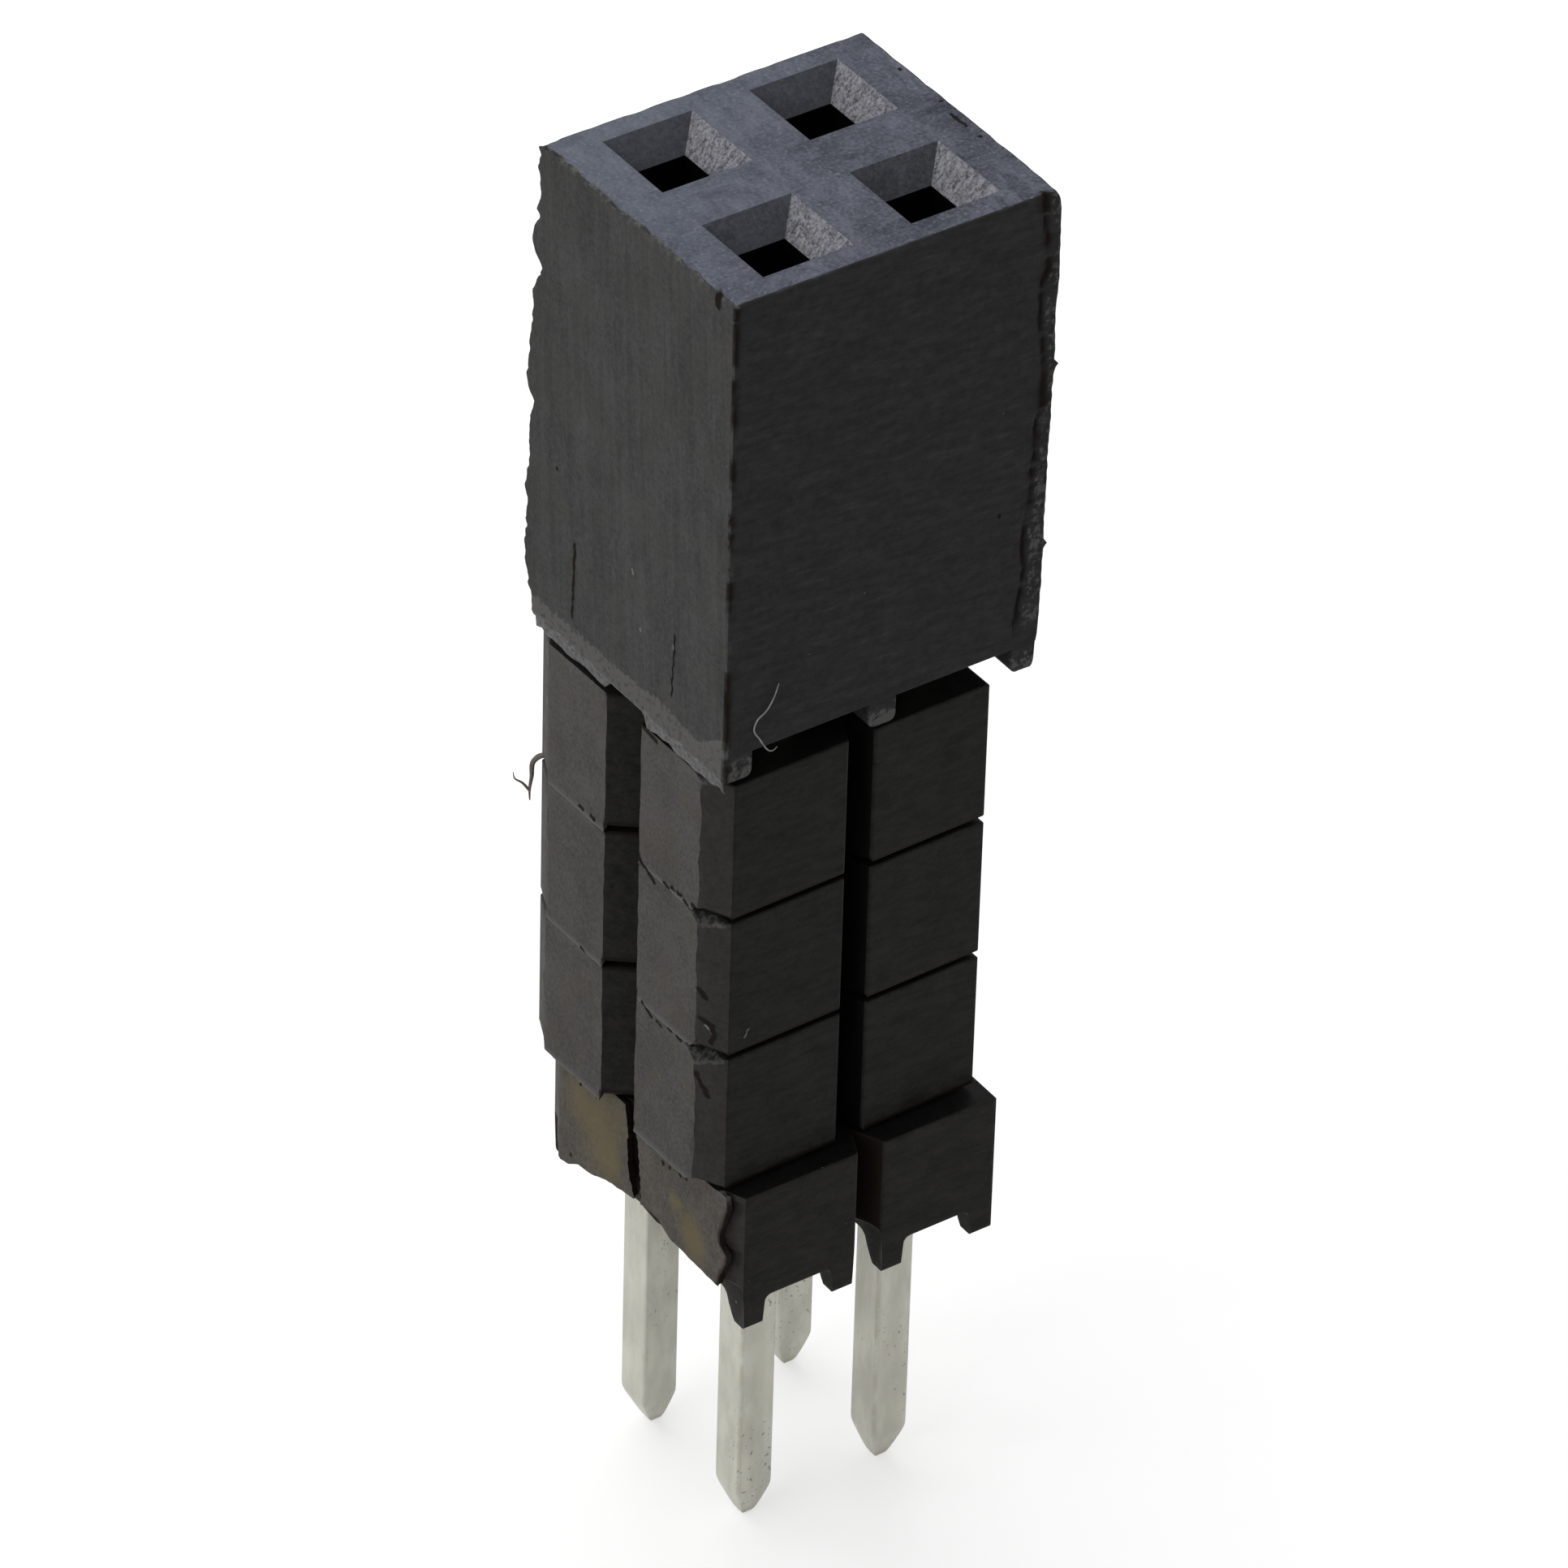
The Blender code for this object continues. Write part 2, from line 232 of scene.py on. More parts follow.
@dataclass
class Plan:
    """A plan view cut into cells by two families of lines, some of them left open.

    The stations are the rows that carry the piece's own outlines. The rows between two of them
    only fill in, and follow them.
    """

    x: np.ndarray
    y: np.ndarray
    kept: np.ndarray
    stations: list[int]

    def cells(self) -> np.ndarray:
        """Corner numbers of the kept cells, counter-clockwise from above."""
        index = np.arange(self.x.size).reshape(self.x.shape)
        return np.stack([index[part][self.kept] for part in CELL_CORNERS], axis=-1)

    def border(self) -> tuple[np.ndarray, np.ndarray]:
        """Directed edges between a kept cell and open space, with the solid on their left.

        Returns:
            Corner numbers where the edges start, and where they end.
        """
        index = np.arange(self.x.size).reshape(self.x.shape)
        solid = np.pad(self.kept, 1)
        below, above = solid[1:-1, :-1], solid[1:-1, 1:]
        left, right = solid[:-1, 1:-1], solid[1:, 1:-1]
        a, b = index[:-1, :], index[1:, :]
        c, d = index[:, :-1], index[:, 1:]
        starts = [a[above & ~below], b[below & ~above], c[left & ~right], d[right & ~left]]
        ends = [b[above & ~below], a[below & ~above], d[left & ~right], c[right & ~left]]
        return np.concatenate(starts), np.concatenate(ends)

    def flat(self) -> np.ndarray:
        """Places of all the corners, one row each."""
        return np.stack([self.x.ravel(), self.y.ravel()], axis=-1)

    def outward(self, start: np.ndarray, end: np.ndarray) -> np.ndarray:
        """Mitred outward direction at each corner: (n1 + n2) / (1 + n1.n2) of its two edges.

        Args:
            start: Corner numbers where the border edges start.
            end: Corner numbers where they end.

        Returns:
            Direction at every corner of the plan, zero away from the border.
        """
        flat = self.flat()
        along = flat[end] - flat[start]
        length = np.hypot(along[:, 0], along[:, 1])
        real = length > WELD
        normal = np.zeros_like(along)
        normal[real] = np.stack([along[real, 1], -along[real, 0]], axis=-1) / length[real, None]
        total = np.zeros_like(flat)
        np.add.at(total, start, normal)
        np.add.at(total, end, normal)
        count = np.zeros(len(flat))
        np.add.at(count, start, real.astype(float))
        np.add.at(count, end, real.astype(float))
        square = (total**2).sum(axis=-1)
        scale = np.where(count > 1.5, 2.0 / np.maximum(square, 1.0), 1.0)
        return total * scale[:, None]

    def eased(self, pull: np.ndarray) -> np.ndarray:
        """Share each corner's pull by distance between the two stations around its row.

        Args:
            pull: Pull of every corner, of which those on the stations count.

        Returns:
            Eased pull of every corner.
        """
        moved = pull.reshape(self.x.shape + (2,)).copy()
        for a, b in zip(self.stations, self.stations[1:]):
            share = np.linspace(0.0, 1.0, b - a + 1)[:, None]
            moved[:, a : b + 1] = moved[:, a : a + 1] * (1.0 - share) + moved[:, b : b + 1] * share
        return moved.reshape(-1, 2)


@dataclass
class Surface:
    """Points, quads and skins of a closed surface while it is put together."""

    points: list[np.ndarray] = field(default_factory=list)
    quads: list[np.ndarray] = field(default_factory=list)
    skins: list[np.ndarray] = field(default_factory=list)
    count: int = 0

    def add(self, points: np.ndarray, quads: np.ndarray, skin: Skin | np.ndarray) -> None:
        """Add a patch whose quads number its own points from 0.

        Args:
            points: Places of the patch.
            quads: Corner numbers of the quads, or triangles, one row each.
            skin: Skin of the whole patch, or one row of shares per quad.
        """
        rows = skin.value if isinstance(skin, Skin) else skin
        self.points.append(points.reshape(-1, 3))
        self.quads.append(quads + self.count)
        self.skins.append(np.broadcast_to(rows, (len(quads), len(SKIN_MASKS))))
        self.count += len(self.points[-1])

    def wall(self, rings: np.ndarray, start: np.ndarray, end: np.ndarray, skin: Skin | np.ndarray) -> None:
        """Add the wall between rings of points, lowest ring first.

        Args:
            rings: One row of points per ring.
            start: Numbers in the ring where each edge starts, with the solid on its left.
            end: Numbers in the ring where each edge ends.
            skin: Skin of the whole wall, or one row of shares per edge.
        """
        levels, size = rings.shape[:2]
        base = (np.arange(levels - 1) * size)[:, None]
        corners = (base + start, base + end, base + size + end, base + size + start)
        rows = skin if isinstance(skin, Skin) else np.tile(skin, (levels - 1, 1))
        self.add(rings, np.stack([c.ravel() for c in corners], axis=-1), rows)

    def write(self, name: str, shape: Callable[[np.ndarray], np.ndarray] = np.array) -> bpy.types.Object:
        """Put the surface into a mesh, weld its seams, mark its skins and shade it smooth.

        Args:
            name: Name of the piece.
            shape: Moves the clean places, in millimetres, to where they belong.

        Returns:
            The linked object, which sits at the origin.
        """
        mesh = bpy.data.meshes.new(name)
        points = shape(np.concatenate(self.points))
        faces = [face for patch in self.quads for face in patch.tolist()]
        mesh.from_pydata((points * MM).tolist(), [], faces)
        for mask, share in zip(SKIN_MASKS, np.concatenate(self.skins).T):
            attribute = mesh.attributes.new(mask, "FLOAT", "FACE")
            attribute.data.foreach_set("value", share.astype(np.float32))
        builder = bmesh.new()
        builder.from_mesh(mesh)
        bmesh.ops.delete(builder, geom=[v for v in builder.verts if not v.link_faces], context="VERTS")
        bmesh.ops.remove_doubles(builder, verts=builder.verts, dist=WELD * MM)
        bmesh.ops.dissolve_degenerate(builder, edges=builder.edges, dist=WELD * MM)
        bmesh.ops.recalc_face_normals(builder, faces=builder.faces)
        builder.to_mesh(mesh)
        builder.free()
        mesh.shade_smooth()
        mesh.set_sharp_from_angle(angle=math.radians(CREASE))
        piece = bpy.data.objects.new(name, mesh)
        bpy.context.scene.collection.objects.link(piece)
        return piece


def table(
    items: bpy.types.bpy_prop_collection, name: str, width: int = 1, kind: type = np.float32
) -> np.ndarray:
    """Read one property of all the parts of a mesh.

    Args:
        items: Vertices, loops, faces or normals of the mesh.
        name: Name of the property.
        width: How many numbers each part has.
        kind: Type of the numbers.

    Returns:
        One number per part, or one row where the width is more than 1.
    """
    values = np.empty(len(items) * width, kind)
    items.foreach_get(name, values)
    return values.reshape(-1, width) if width > 1 else values


def vertex_table(piece: bpy.types.Object) -> tuple[np.ndarray, np.ndarray]:
    """Places in millimetres and normals of a piece's vertices."""
    mesh = piece.data
    return table(mesh.vertices, "co", 3) / MM, table(mesh.vertex_normals, "vector", 3)


def paint(piece: bpy.types.Object, name: str, values: np.ndarray) -> None:
    """Store one number per vertex as a named attribute, which the finishes read."""
    attribute = piece.data.attributes.new(name, "FLOAT", "POINT")
    attribute.data.foreach_set("value", np.clip(values, 0.0, 1.0).astype(np.float32))


def paint_edges(piece: bpy.types.Object, gain: float = 5.0) -> None:
    """Store how sharply the surface turns at each vertex, for worn outer edges.

    The value is the gain times the largest 1 - n.m over the faces at the vertex, where n is the
    vertex normal and m a face normal, and 0 where the faces rise above the vertex.

    Args:
        piece: Piece that gets the attribute.
        gain: How much of a turn counts as fully worn.
    """
    mesh = piece.data
    places, normals = vertex_table(piece)
    corner = table(mesh.loops, "vertex_index", kind=np.int32)
    face = np.repeat(np.arange(len(mesh.polygons)), table(mesh.polygons, "loop_total", kind=np.int32))
    facing = table(mesh.polygons, "normal", 3)[face]
    centre = table(mesh.polygons, "center", 3)[face] / MM
    turn = 1.0 - (facing * normals[corner]).sum(axis=-1)
    rise = ((centre - places[corner]) * normals[corner]).sum(axis=-1)
    edge = np.zeros(len(places))
    np.maximum.at(edge, corner, np.where(rise < 0.0, turn, 0.0))
    paint(piece, "edge", edge * gain)


def write_tube(name: str, rings: np.ndarray) -> bpy.types.Object:
    """Make a piece of closed rings, the first and the last of them shrunk to a point.

    Args:
        name: Name of the piece.
        rings: One row of places per ring.

    Returns:
        The linked object.
    """
    start = np.arange(rings.shape[1])
    surface = Surface()
    surface.wall(rings, start, np.roll(start, -1), Skin.MOULDED)
    return surface.write(name)


class Data(Enum):
    """What a mix carries: its kind of data, its first socket of that kind and its output."""

    COLOUR = ("RGBA", 6, 2)
    NUMBER = ("FLOAT", 2, 0)


class NodeKit:
    """Short calls that add and link the nodes of one shader tree."""

    def __init__(self, tree: bpy.types.NodeTree) -> None:
        """Work on the given tree."""
        self.tree = tree

    def add(self, kind: str, **settings: object) -> bpy.types.Node:
        """Add a node.

        Args:
            kind: Blender's name of the node's type.
            settings: Properties of the node and their values.

        Returns:
            The node.
        """
        node = self.tree.nodes.new(kind)
        for name, value in settings.items():
            setattr(node, name, value)
        return node

    def feed(self, socket: bpy.types.NodeSocket, value: object) -> None:
        """Link a socket to the value if that is a socket too, or else set it.

        Args:
            socket: Input socket.
            value: Output socket, number or tuple.
        """
        if isinstance(value, bpy.types.NodeSocket):
            self.tree.links.new(value, socket)
        else:
            socket.default_value = value

    def run(self, node: bpy.types.Node, inputs: dict[str | int, object], output: str | int = 0) -> object:
        """Feed a node and read it.

        Args:
            node: The node.
            inputs: Names or numbers of its input sockets, and what they get.
            output: Name or number of the output socket.

        Returns:
            The output socket.
        """
        for socket, value in inputs.items():
            self.feed(node.inputs[socket], value)
        return node.outputs[output]

    def math(self, operation: str, a: object, b: object = 0.0, clamp: bool = False) -> object:
        """Result of a sum on two numbers."""
        node = self.add("ShaderNodeMath", operation=operation, use_clamp=clamp)
        return self.run(node, {0: a, 1: b})

    def plus(self, a: object, b: object) -> object:
        """Sum of two numbers."""
        return self.math("ADD", a, b)

    def minus(self, a: object, b: object) -> object:
        """Difference of two numbers."""
        return self.math("SUBTRACT", a, b)

    def times(self, a: object, *factors: object) -> object:
        """Product of numbers, from the left."""
        return reduce(lambda product, factor: self.math("MULTIPLY", product, factor), factors, a)

    def vector(self, operation: str, a: object, b: object = (0.0, 0.0, 0.0)) -> object:
        """Result of a sum on two vectors, a number where the sum gives one."""
        node = self.add("ShaderNodeVectorMath", operation=operation)
        return self.run(node, {0: a, 1: b}, "Value" if operation in ("DOT_PRODUCT", "LENGTH") else "Vector")

    def stretch(self, vector: object, factors: tuple[float, float, float]) -> object:
        """Vector with each part times its own factor."""
        return self.vector("MULTIPLY", vector, factors)

    def mix(self, share: object, a: object, b: object, data: Data = Data.COLOUR) -> object:
        """Blend from a to b by the share; a mix node has a set of sockets for each kind of data."""
        kind, first, output = data.value
        return self.run(self.add("ShaderNodeMix", data_type=kind), {0: share, first: a, first + 1: b}, output)

    def step(self, low: float, high: float, value: object) -> object:
        """Smooth step of a value from 0 at low to 1 at high."""
        node = self.add("ShaderNodeMapRange", interpolation_type="SMOOTHSTEP")
        return self.run(node, {"Value": value, "From Min": low, "From Max": high})

    def scaled(self, vector: object, factor: object) -> object:
        """Vector times a number."""
        return self.run(self.add("ShaderNodeVectorMath", operation="SCALE"), {0: vector, "Scale": factor})

    def noise(
        self, vector: object, size: object, detail: float = 3.0, rough: float = 0.55, bend: float = 0.0
    ) -> object:
        """Cloudy value whose patches are about as wide as the size, and bent by the bend."""
        values = dict(Vector=vector, Scale=self.math("DIVIDE", 1.0, size), Detail=detail, Roughness=rough)
        return self.run(self.add("ShaderNodeTexNoise"), values | {"Distortion": bend}, "Fac")

    def bump(self, shader: bpy.types.Node, height: object, strength: float, distance: float) -> None:
        """Raise a shader's surface by a height times the distance, in millimetres."""
        values = {"Height": height, "Strength": strength, "Distance": distance * MM}
        self.feed(shader.inputs["Normal"], self.run(self.add("ShaderNodeBump"), values, "Normal"))

    def attribute(self, name: str) -> object:
        """Value of a painted attribute."""
        return self.add("ShaderNodeAttribute", attribute_name=name).outputs["Fac"]

    def place(self) -> object:
        """Place on the piece in millimetres, in the frame of the whole object."""
        coordinate = self.add("ShaderNodeTexCoord").outputs["Object"]
        return self.stretch(coordinate, (1.0 / MM, 1.0 / MM, 1.0 / MM))

    def group(self, name: str, **inputs: object) -> bpy.types.NodeOutputs:
        """Place a shared effect with its own values.

        Args:
            name: Name of the effect.
            inputs: Its input sockets and what they get.

        Returns:
            Its output sockets.
        """
        node = self.add("ShaderNodeGroup", node_tree=bpy.data.node_groups[name])
        self.run(node, inputs)
        return node.outputs


def new_material(name: str) -> tuple[bpy.types.Material, NodeKit, bpy.types.Node]:
    """Start a material.

    Args:
        name: Name of the material.

    Returns:
        The material, its node kit and its shader.
    """
    material = bpy.data.materials.new(name)
    material.use_nodes = True
    return material, NodeKit(material.node_tree), material.node_tree.nodes["Principled BSDF"]


VECTOR_SOCKETS = ("Vector", "Along", "Start", "Reach")


class Effects:
    """Shared shader effects, each built once as a node group."""

    def open(self, name: str, inputs: str, outputs: str) -> tuple:
        """Start a group with its named sockets, which are numbers unless they are listed as vectors.

        Args:
            name: Name of the group.
            inputs: Names of the inputs.
            outputs: Names of the outputs.

        Returns:
            The node kit, the input sockets and the output sockets.
        """
        tree = bpy.data.node_groups.new(name, "ShaderNodeTree")
        for direction, sockets in (("INPUT", inputs), ("OUTPUT", outputs)):
            for socket in sockets.split():
                kind = "NodeSocketVector" if socket in VECTOR_SOCKETS else "NodeSocketFloat"
                tree.interface.new_socket(socket, in_out=direction, socket_type=kind)
        kit = NodeKit(tree)
        return kit, kit.add("NodeGroupInput").outputs, kit.add("NodeGroupOutput").inputs

    def grain(self) -> None:
        """Skin of a filled plastic: cloudy tone in two sizes and a fine pitted height."""
        kit, given, result = self.open("grain", "Vector Size", "Tone Height")
        broad = kit.noise(given["Vector"], given["Size"], 4.0, 0.6)
        fine = kit.noise(given["Vector"], kit.times(given["Size"], 0.22), 3.0, 0.6)
        tone = kit.plus(kit.times(broad, 0.6), kit.times(fine, 0.4))
        kit.feed(result["Tone"], kit.step(0.36, 0.64, tone))
        kit.feed(result["Height"], kit.plus(fine, kit.times(broad, 0.5)))

    def swirl(self) -> None:
        """Flow marks of the moulding: fibrous streaks along or across the strip, and fine flakes."""
        kit, given, result = self.open("swirl", "Vector Size", "Tone Flakes")
        place, size = given["Vector"], given["Size"]
        broad = kit.noise(place, kit.times(size, 5.0), 1.0)
        along = kit.noise(kit.stretch(place, (0.42, 1.0, 1.0)), size, 4.0, 0.7, 0.6)
        across = kit.noise(kit.stretch(place, (1.0, 0.42, 1.0)), size, 4.0, 0.7, 0.6)
        flow = kit.mix(kit.step(0.35, 0.65, broad), along, across, Data.NUMBER)
        fine = kit.noise(place, kit.times(size, 0.25), 2.0, 0.6)
        tone = kit.plus(kit.plus(kit.times(flow, 0.5), kit.times(fine, 0.3)), kit.times(broad, 0.2))
        kit.feed(result["Tone"], kit.step(0.34, 0.66, tone))
        kit.feed(result["Flakes"], kit.step(0.60, 0.72, fine))

    def crinkle(self) -> None:
        """Sparkling crinkled skin: small bright and dark cells with a height to match."""
        kit, given, result = self.open("crinkle", "Vector Size", "Tone Height")
        place, size = given["Vector"], given["Size"]
        bent = kit.scaled((0.10, 0.13, 0.08), kit.noise(place, kit.times(size, 2.0), 2.0))
        bent = kit.vector("ADD", kit.stretch(place, (0.55, 1.0, 0.55)), bent)
        cell = kit.add("ShaderNodeTexVoronoi", feature="SMOOTH_F1")
        gap = kit.run(cell, {"Vector": bent, "Scale": kit.math("DIVIDE", 1.0, size)}, "Distance")
        height = kit.minus(kit.noise(place, kit.times(size, 0.6), 3.0, 0.6), kit.times(gap, 0.5))
        kit.feed(result["Tone"], kit.step(-0.05, 0.60, height))
        kit.feed(result["Height"], height)

    def hairlines(self) -> None:
        """Fine lines along a direction: a cloud drawn out along it, cut to its highest streaks."""
        kit, given, result = self.open("hairlines", "Vector Along Width Draw", "Tone Mask")
        run = kit.vector("DOT_PRODUCT", given["Vector"], given["Along"])
        back = kit.scaled(given["Along"], kit.times(run, given["Draw"]))
        streak = kit.noise(kit.vector("SUBTRACT", given["Vector"], back), given["Width"], 4.0, 0.65)
        kit.feed(result["Tone"], kit.step(0.33, 0.67, streak))
        kit.feed(result["Mask"], kit.step(0.60, 0.74, streak))

    def dust(self) -> None:
        """Sparse light specks: the inside of a few cells' centres, each of its own size."""
        kit, given, result = self.open("dust", "Vector Spacing Speck Share", "Mask")
        cell = kit.add("ShaderNodeTexVoronoi", feature="F1")
        values = {"Vector": given["Vector"], "Scale": kit.math("DIVIDE", 1.0, given["Spacing"])}
        chance = kit.add("ShaderNodeSeparateColor")
        red = kit.run(chance, {0: kit.run(cell, values, "Color")}, "Red")
        picked = kit.math("LESS_THAN", red, given["Share"])
        width = kit.times(given["Speck"], chance.outputs["Green"])
        inside = kit.math("LESS_THAN", kit.times(cell.outputs["Distance"], given["Spacing"]), width)
        kit.feed(result["Mask"], kit.times(inside, picked))

    def nick(self) -> None:
        """Mark along a straight run: 1 near the run and 0 past its width."""
        kit, given, result = self.open("nick", "Vector Start Reach Width", "Mask")
        offset = kit.vector("SUBTRACT", given["Vector"], given["Start"])
        square = kit.vector("DOT_PRODUCT", given["Reach"], given["Reach"])
        share = kit.vector("DOT_PRODUCT", offset, given["Reach"])
        share = kit.math("DIVIDE", share, square, clamp=True)
        gap = kit.vector("LENGTH", kit.vector("SUBTRACT", offset, kit.scaled(given["Reach"], share)))
        kit.feed(result["Mask"], kit.step(1.0, 0.45, kit.math("DIVIDE", gap, given["Width"])))

    def edge_wear(self) -> None:
        """Rubbed outer edges: the painted turn of the surface, broken up by a fine cloud."""
        kit, given, result = self.open("edge_wear", "Vector Edge Size", "Mask")
        cloud = kit.noise(given["Vector"], given["Size"], 3.0, 0.7)
        kit.feed(result["Mask"], kit.times(given["Edge"], kit.step(0.42, 0.62, cloud)))

    def build(self) -> None:
        """Build every effect."""
        for effect in (
            self.grain, self.swirl, self.crinkle, self.hairlines, self.dust, self.nick, self.edge_wear,
        ):
            effect()


Colour = tuple[float, float, float, float]
Point = tuple[float, float, float]


@dataclass(frozen=True)
class Tear:
    """A mark along straight runs between points in millimetres, with ragged sides."""

    width: float
    points: tuple[Point, ...]


@dataclass(frozen=True)
class PlasticFinish:
    """Black filled plastic with a moulded skin, a top of painted light and a grey sawn end.

    A pair of colours is the dark and the light end of a tone. The top is painted light: a painted
    sheen on the housing, paler towards the rear left, and painted shade on the spacers' tops. The
    crumbs are smeared plastic, the specks dust, and the torn marks are either fresh and pale or split
    and dark; the split colour also paints shade into seams, gaps and crevices, and the crumb highlight
    is a painted highlight.
    """

    name: str
    skin: tuple[Colour, Colour]
    # Painted light: a sheen on the housing's top, shade on the spacers' tops.
    top: tuple[Colour, Colour]
    sawn: tuple[Colour, Colour]
    stain: Colour
    stain_share: float
    streak: float
    grain_size: float
    grain_depth: float
    patches: tuple[tuple[Point, float], ...] = ()
    wear: float = 0.12
    # Smeared plastic; on the housing it also paints light on the rib fronts and the lower fringe.
    smear: Colour = (0.095, 0.093, 0.092, 1.0)
    # Crinkled colours, partly painted light on the funnel slopes that face the light.
    crinkled: tuple[Colour, Colour] = ((0.060, 0.060, 0.070, 1.0), (0.320, 0.320, 0.350, 1.0))
    # Pale flakes, also the colour of the painted sheen towards the rear left.
    flake_and_sheen: Colour = (0.20, 0.22, 0.27, 1.0)
    # Painted shade of holes, tunnels and recesses.
    painted_shade: Colour = (0.0022, 0.0020, 0.0019, 1.0)
    scratch: Colour = (0.040, 0.043, 0.052, 1.0)
    scratch_share: float = 0.0
    crumbs: float = 1.0
    # Painted highlight on the brightest smear.
    crumb_highlight: Colour = (0.20, 0.195, 0.20, 1.0)
    speck: Colour = (0.20, 0.20, 0.20, 1.0)
    fresh: Colour = (0.16, 0.16, 0.155, 1.0)
    # Dark split marks; also the colour of the painted shade in seams, gaps and crevices.
    split: Colour = (0.0085, 0.0060, 0.0045, 1.0)
    skin_roughness: float = 0.5
    specular: float = 0.07
    dark_tears: tuple[Tear, ...] = ()
    pale_tears: tuple[Tear, ...] = ()

    def marks(self, kit: NodeKit, torn: object, tears: tuple[Tear, ...]) -> object:
        """Mask of all the torn marks in the list.

        Args:
            kit: Node kit of the material.
            torn: Place on the piece, shaken so that straight marks get ragged sides.
            tears: Marks to show.

        Returns:
            Socket with the mask, or 0 where the list is empty.
        """
        mask: object = 0.0
        for tear in tears:
            for start, end in zip(tear.points, tear.points[1:]):
                reach = tuple(b - a for a, b in zip(start, end))
                values = {"Vector": torn, "Start": start, "Reach": reach, "Width": tear.width}
                mask = kit.math("MAXIMUM", mask, kit.group("nick", **values)["Mask"])
        return mask

    def moulded(self, kit: NodeKit, place: object, grain: object) -> object:
        """Colour of the moulded sides, drawn out a little and faintly scratched along the strip.

        Args:
            kit: Node kit of the material.
            place: Place on the piece.
            grain: Tone of the grain.

        Returns:
            Socket with the colour.
        """
        lines = kit.group("hairlines", Vector=place, Along=(0.998, 0.0, -0.06), Width=0.11, Draw=0.78)
        colour = kit.mix(kit.mix(0.45, grain, lines["Tone"], Data.NUMBER), *self.skin)
        patch = kit.step(0.38, 0.56, kit.noise(place, 1.3, 2.0))
        return kit.mix(kit.times(lines["Mask"], patch, self.scratch_share), colour, self.scratch)

    def painted_light_top(self, kit: NodeKit, place: object) -> object:
        """Colour of the top: painted light over flow marks and flakes, growing paler towards the rear left as
        a painted sheen.

        Args:
            kit: Node kit of the material.
            place: Place on the piece.

        Returns:
            Socket with the colour.
        """
        swirl = kit.group("swirl", Vector=place, Size=0.24)
        colour = kit.mix(swirl["Tone"], *self.top)
        colour = kit.mix(kit.times(swirl["Flakes"], 0.5), colour, self.flake_and_sheen)
        # Painted light: the top grows paler towards the rear left, where the key light stands.
        rear_left = kit.step(-2.2, 3.8, kit.vector("DOT_PRODUCT", place, (-0.7, 0.7, 0.0)))
        return kit.mix(kit.times(rear_left, 0.32), colour, self.flake_and_sheen)

    def stains(self, kit: NodeKit, place: object) -> object:
        """Mask of the stains: the listed patches with cloudy rims, or a broad cloud without them.

        Args:
            kit: Node kit of the material.
            place: Place on the piece.

        Returns:
            Socket with the mask.
        """
        cloud = kit.noise(kit.stretch(place, (1.0, 1.0, 0.7)), 0.9, 4.0, 0.65)
        if not self.patches:
            return kit.step(0.46, 0.62, cloud)
        mask: object = 0.0
        for centre, radius in self.patches:
            gap = kit.math("DIVIDE", kit.vector("LENGTH", kit.vector("SUBTRACT", place, centre)), radius)
            gap = kit.plus(gap, kit.times(kit.minus(cloud, 0.5), 2.4))
            mask = kit.math("MAXIMUM", mask, kit.step(1.5, 0.2, gap))
        return mask

    def cut(self, kit: NodeKit, place: object, drag: object) -> object:
        """Colour of the sawn end: clouds, a fine grain, faint upright streaks and stains.

        Args:
            kit: Node kit of the material.
            place: Place on the piece.
            drag: Tone of the streaks.

        Returns:
            Socket with the colour.
        """
        cloud, fine = kit.noise(place, 0.8, 4.0, 0.6), kit.noise(place, 0.06, 2.0, 0.6)
        tone = kit.step(0.32, 0.68, kit.plus(kit.times(cloud, 0.4), kit.times(fine, 0.6)))
        colour = kit.mix(kit.mix(self.streak, tone, drag, Data.NUMBER), *self.sawn)
        return kit.mix(kit.times(self.stains(kit, place), self.stain_share), colour, self.stain)

    def rubbed(self, kit: NodeKit, place: object, colour: object) -> object:
        """Wear a colour: rubbed outer edges, smeared crumbs, a painted highlight where the smear is
        brightest, and specks of dust.

        Args:
            kit: Node kit of the material.
            place: Place on the piece.
            colour: Colour before the wear.

        Returns:
            Socket with the worn colour.
        """
        worn = kit.group("edge_wear", Vector=place, Edge=kit.attribute("edge"), Size=0.10)["Mask"]
        colour = kit.mix(kit.times(worn, self.wear), colour, self.smear)
        smear = kit.attribute("smear")
        crumbs = kit.step(0.30, 0.70, kit.noise(place, 0.10, 3.0, 0.6))
        crumbs = kit.mix(self.crumbs, 0.5, crumbs, Data.NUMBER)
        share = kit.times(kit.step(0.75, 1.35, kit.plus(crumbs, smear)), kit.step(0.0, 0.2, smear))
        # The smear colour also paints light where the housing's rib fronts are marked.
        colour = kit.mix(share, colour, self.smear)
        # Painted highlight where the smear passes 0.92, broken up by the crumbs: the housing's lower fringe.
        colour = kit.mix(kit.times(kit.step(0.92, 1.0, smear), crumbs, 0.7), colour, self.crumb_highlight)
        specks = kit.group("dust", Vector=place, Spacing=0.46, Speck=0.030, Share=0.30)["Mask"]
        return kit.mix(kit.times(specks, 0.45), colour, self.speck)

